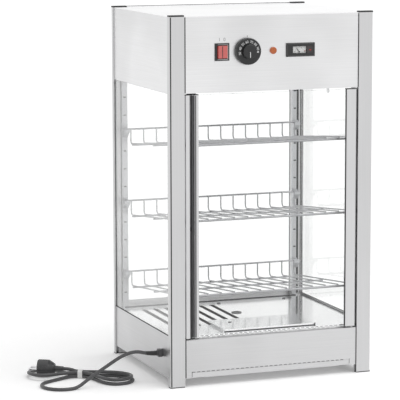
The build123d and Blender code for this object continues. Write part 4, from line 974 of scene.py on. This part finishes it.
# Floor, world and lamps
FLOOR_HALF = 40.0
FLOOR_COLOUR = (0.97, 0.97, 0.97, 1.0)
FLOOR_LIFT = 0.18
WORLD_LIGHT = 0.58
SUN_FROM = Vector((0.34, -0.26, 0.90))
SUN_STRENGTH = 1.35
SUN_SIZE = radians(60)


def seen_directly(tree):
    """1 where a camera, glossy or transmitted ray looks, and 0 for lighting."""
    rays = node(tree, "ShaderNodeLightPath")
    first = node(tree, "ShaderNodeMath", operation="MAXIMUM")
    second = node(tree, "ShaderNodeMath", operation="MAXIMUM")
    tree.links.new(rays.outputs["Is Camera Ray"], first.inputs[0])
    tree.links.new(rays.outputs["Is Glossy Ray"], first.inputs[1])
    tree.links.new(first.outputs[0], second.inputs[0])
    tree.links.new(rays.outputs["Is Transmission Ray"], second.inputs[1])
    return second.outputs[0]


def make_floor():
    shape = bmesh.new()
    corners = ((-1, -1), (1, -1), (1, 1), (-1, 1))
    shape.faces.new([shape.verts.new((x * FLOOR_HALF, y * FLOOR_HALF, 0)) for x, y in corners])
    floor = mesh_piece("studio_floor", shape)
    material = bpy.data.materials.new("studio_floor")
    material.use_nodes = True
    tree = material.node_tree
    tree.nodes.remove(tree.nodes["Principled BSDF"])
    matt = node(tree, "ShaderNodeBsdfDiffuse")
    matt.inputs["Color"].default_value = FLOOR_COLOUR
    lift = node(tree, "ShaderNodeEmission")
    scaled = node(tree, "ShaderNodeMath", operation="MULTIPLY")
    scaled.inputs[1].default_value = FLOOR_LIFT
    both = node(tree, "ShaderNodeAddShader")
    tree.links.new(seen_directly(tree), scaled.inputs[0])
    tree.links.new(scaled.outputs[0], lift.inputs["Strength"])
    tree.links.new(matt.outputs["BSDF"], both.inputs[0])
    tree.links.new(lift.outputs["Emission"], both.inputs[1])
    tree.links.new(both.outputs["Shader"], tree.nodes["Material Output"].inputs["Surface"])
    floor.data.materials.append(material)
    bpy.context.scene.collection.objects.link(floor)


def make_world():
    world = bpy.data.worlds.new("studio_world")
    bpy.context.scene.world = world
    world.use_nodes = True
    tree = world.node_tree
    sky = tree.nodes["Background"]
    sky.inputs["Color"].default_value = (*WHITE, 1.0)
    level = node(tree, "ShaderNodeMapRange")
    level.inputs["To Min"].default_value = WORLD_LIGHT
    level.inputs["To Max"].default_value = 1.0
    tree.links.new(seen_directly(tree), level.inputs["Value"])
    tree.links.new(level.outputs["Result"], sky.inputs["Strength"])


def make_sun():
    data = bpy.data.lights.new("soft_key", "SUN")
    data.energy = SUN_STRENGTH
    data.angle = SUN_SIZE
    sun = bpy.data.objects.new("soft_key", data)
    sun.rotation_euler = (-SUN_FROM).to_track_quat("-Z", "Y").to_euler()
    bpy.context.scene.collection.objects.link(sun)


make_camera()
make_world()
make_sun()
make_floor()
materials = make_materials()
paint_nodes(materials)
make_cord(materials)
knob_details(materials)
panel_printing(materials)
lamp_details(materials)
gauge_details(materials)
switch_and_gauge_rims(materials)
# Dark strips of painted shade in the seams, channels and holes
for painted_shade_lines in (panel_seam_shade, standard_seam_shade, glass_seam_shade):
    painted_shade_lines(materials["seam_shadow"])
edge_row_shade(materials)
door_and_rocker_strips(materials)

bpy.context.scene.view_settings.view_transform = "Standard"
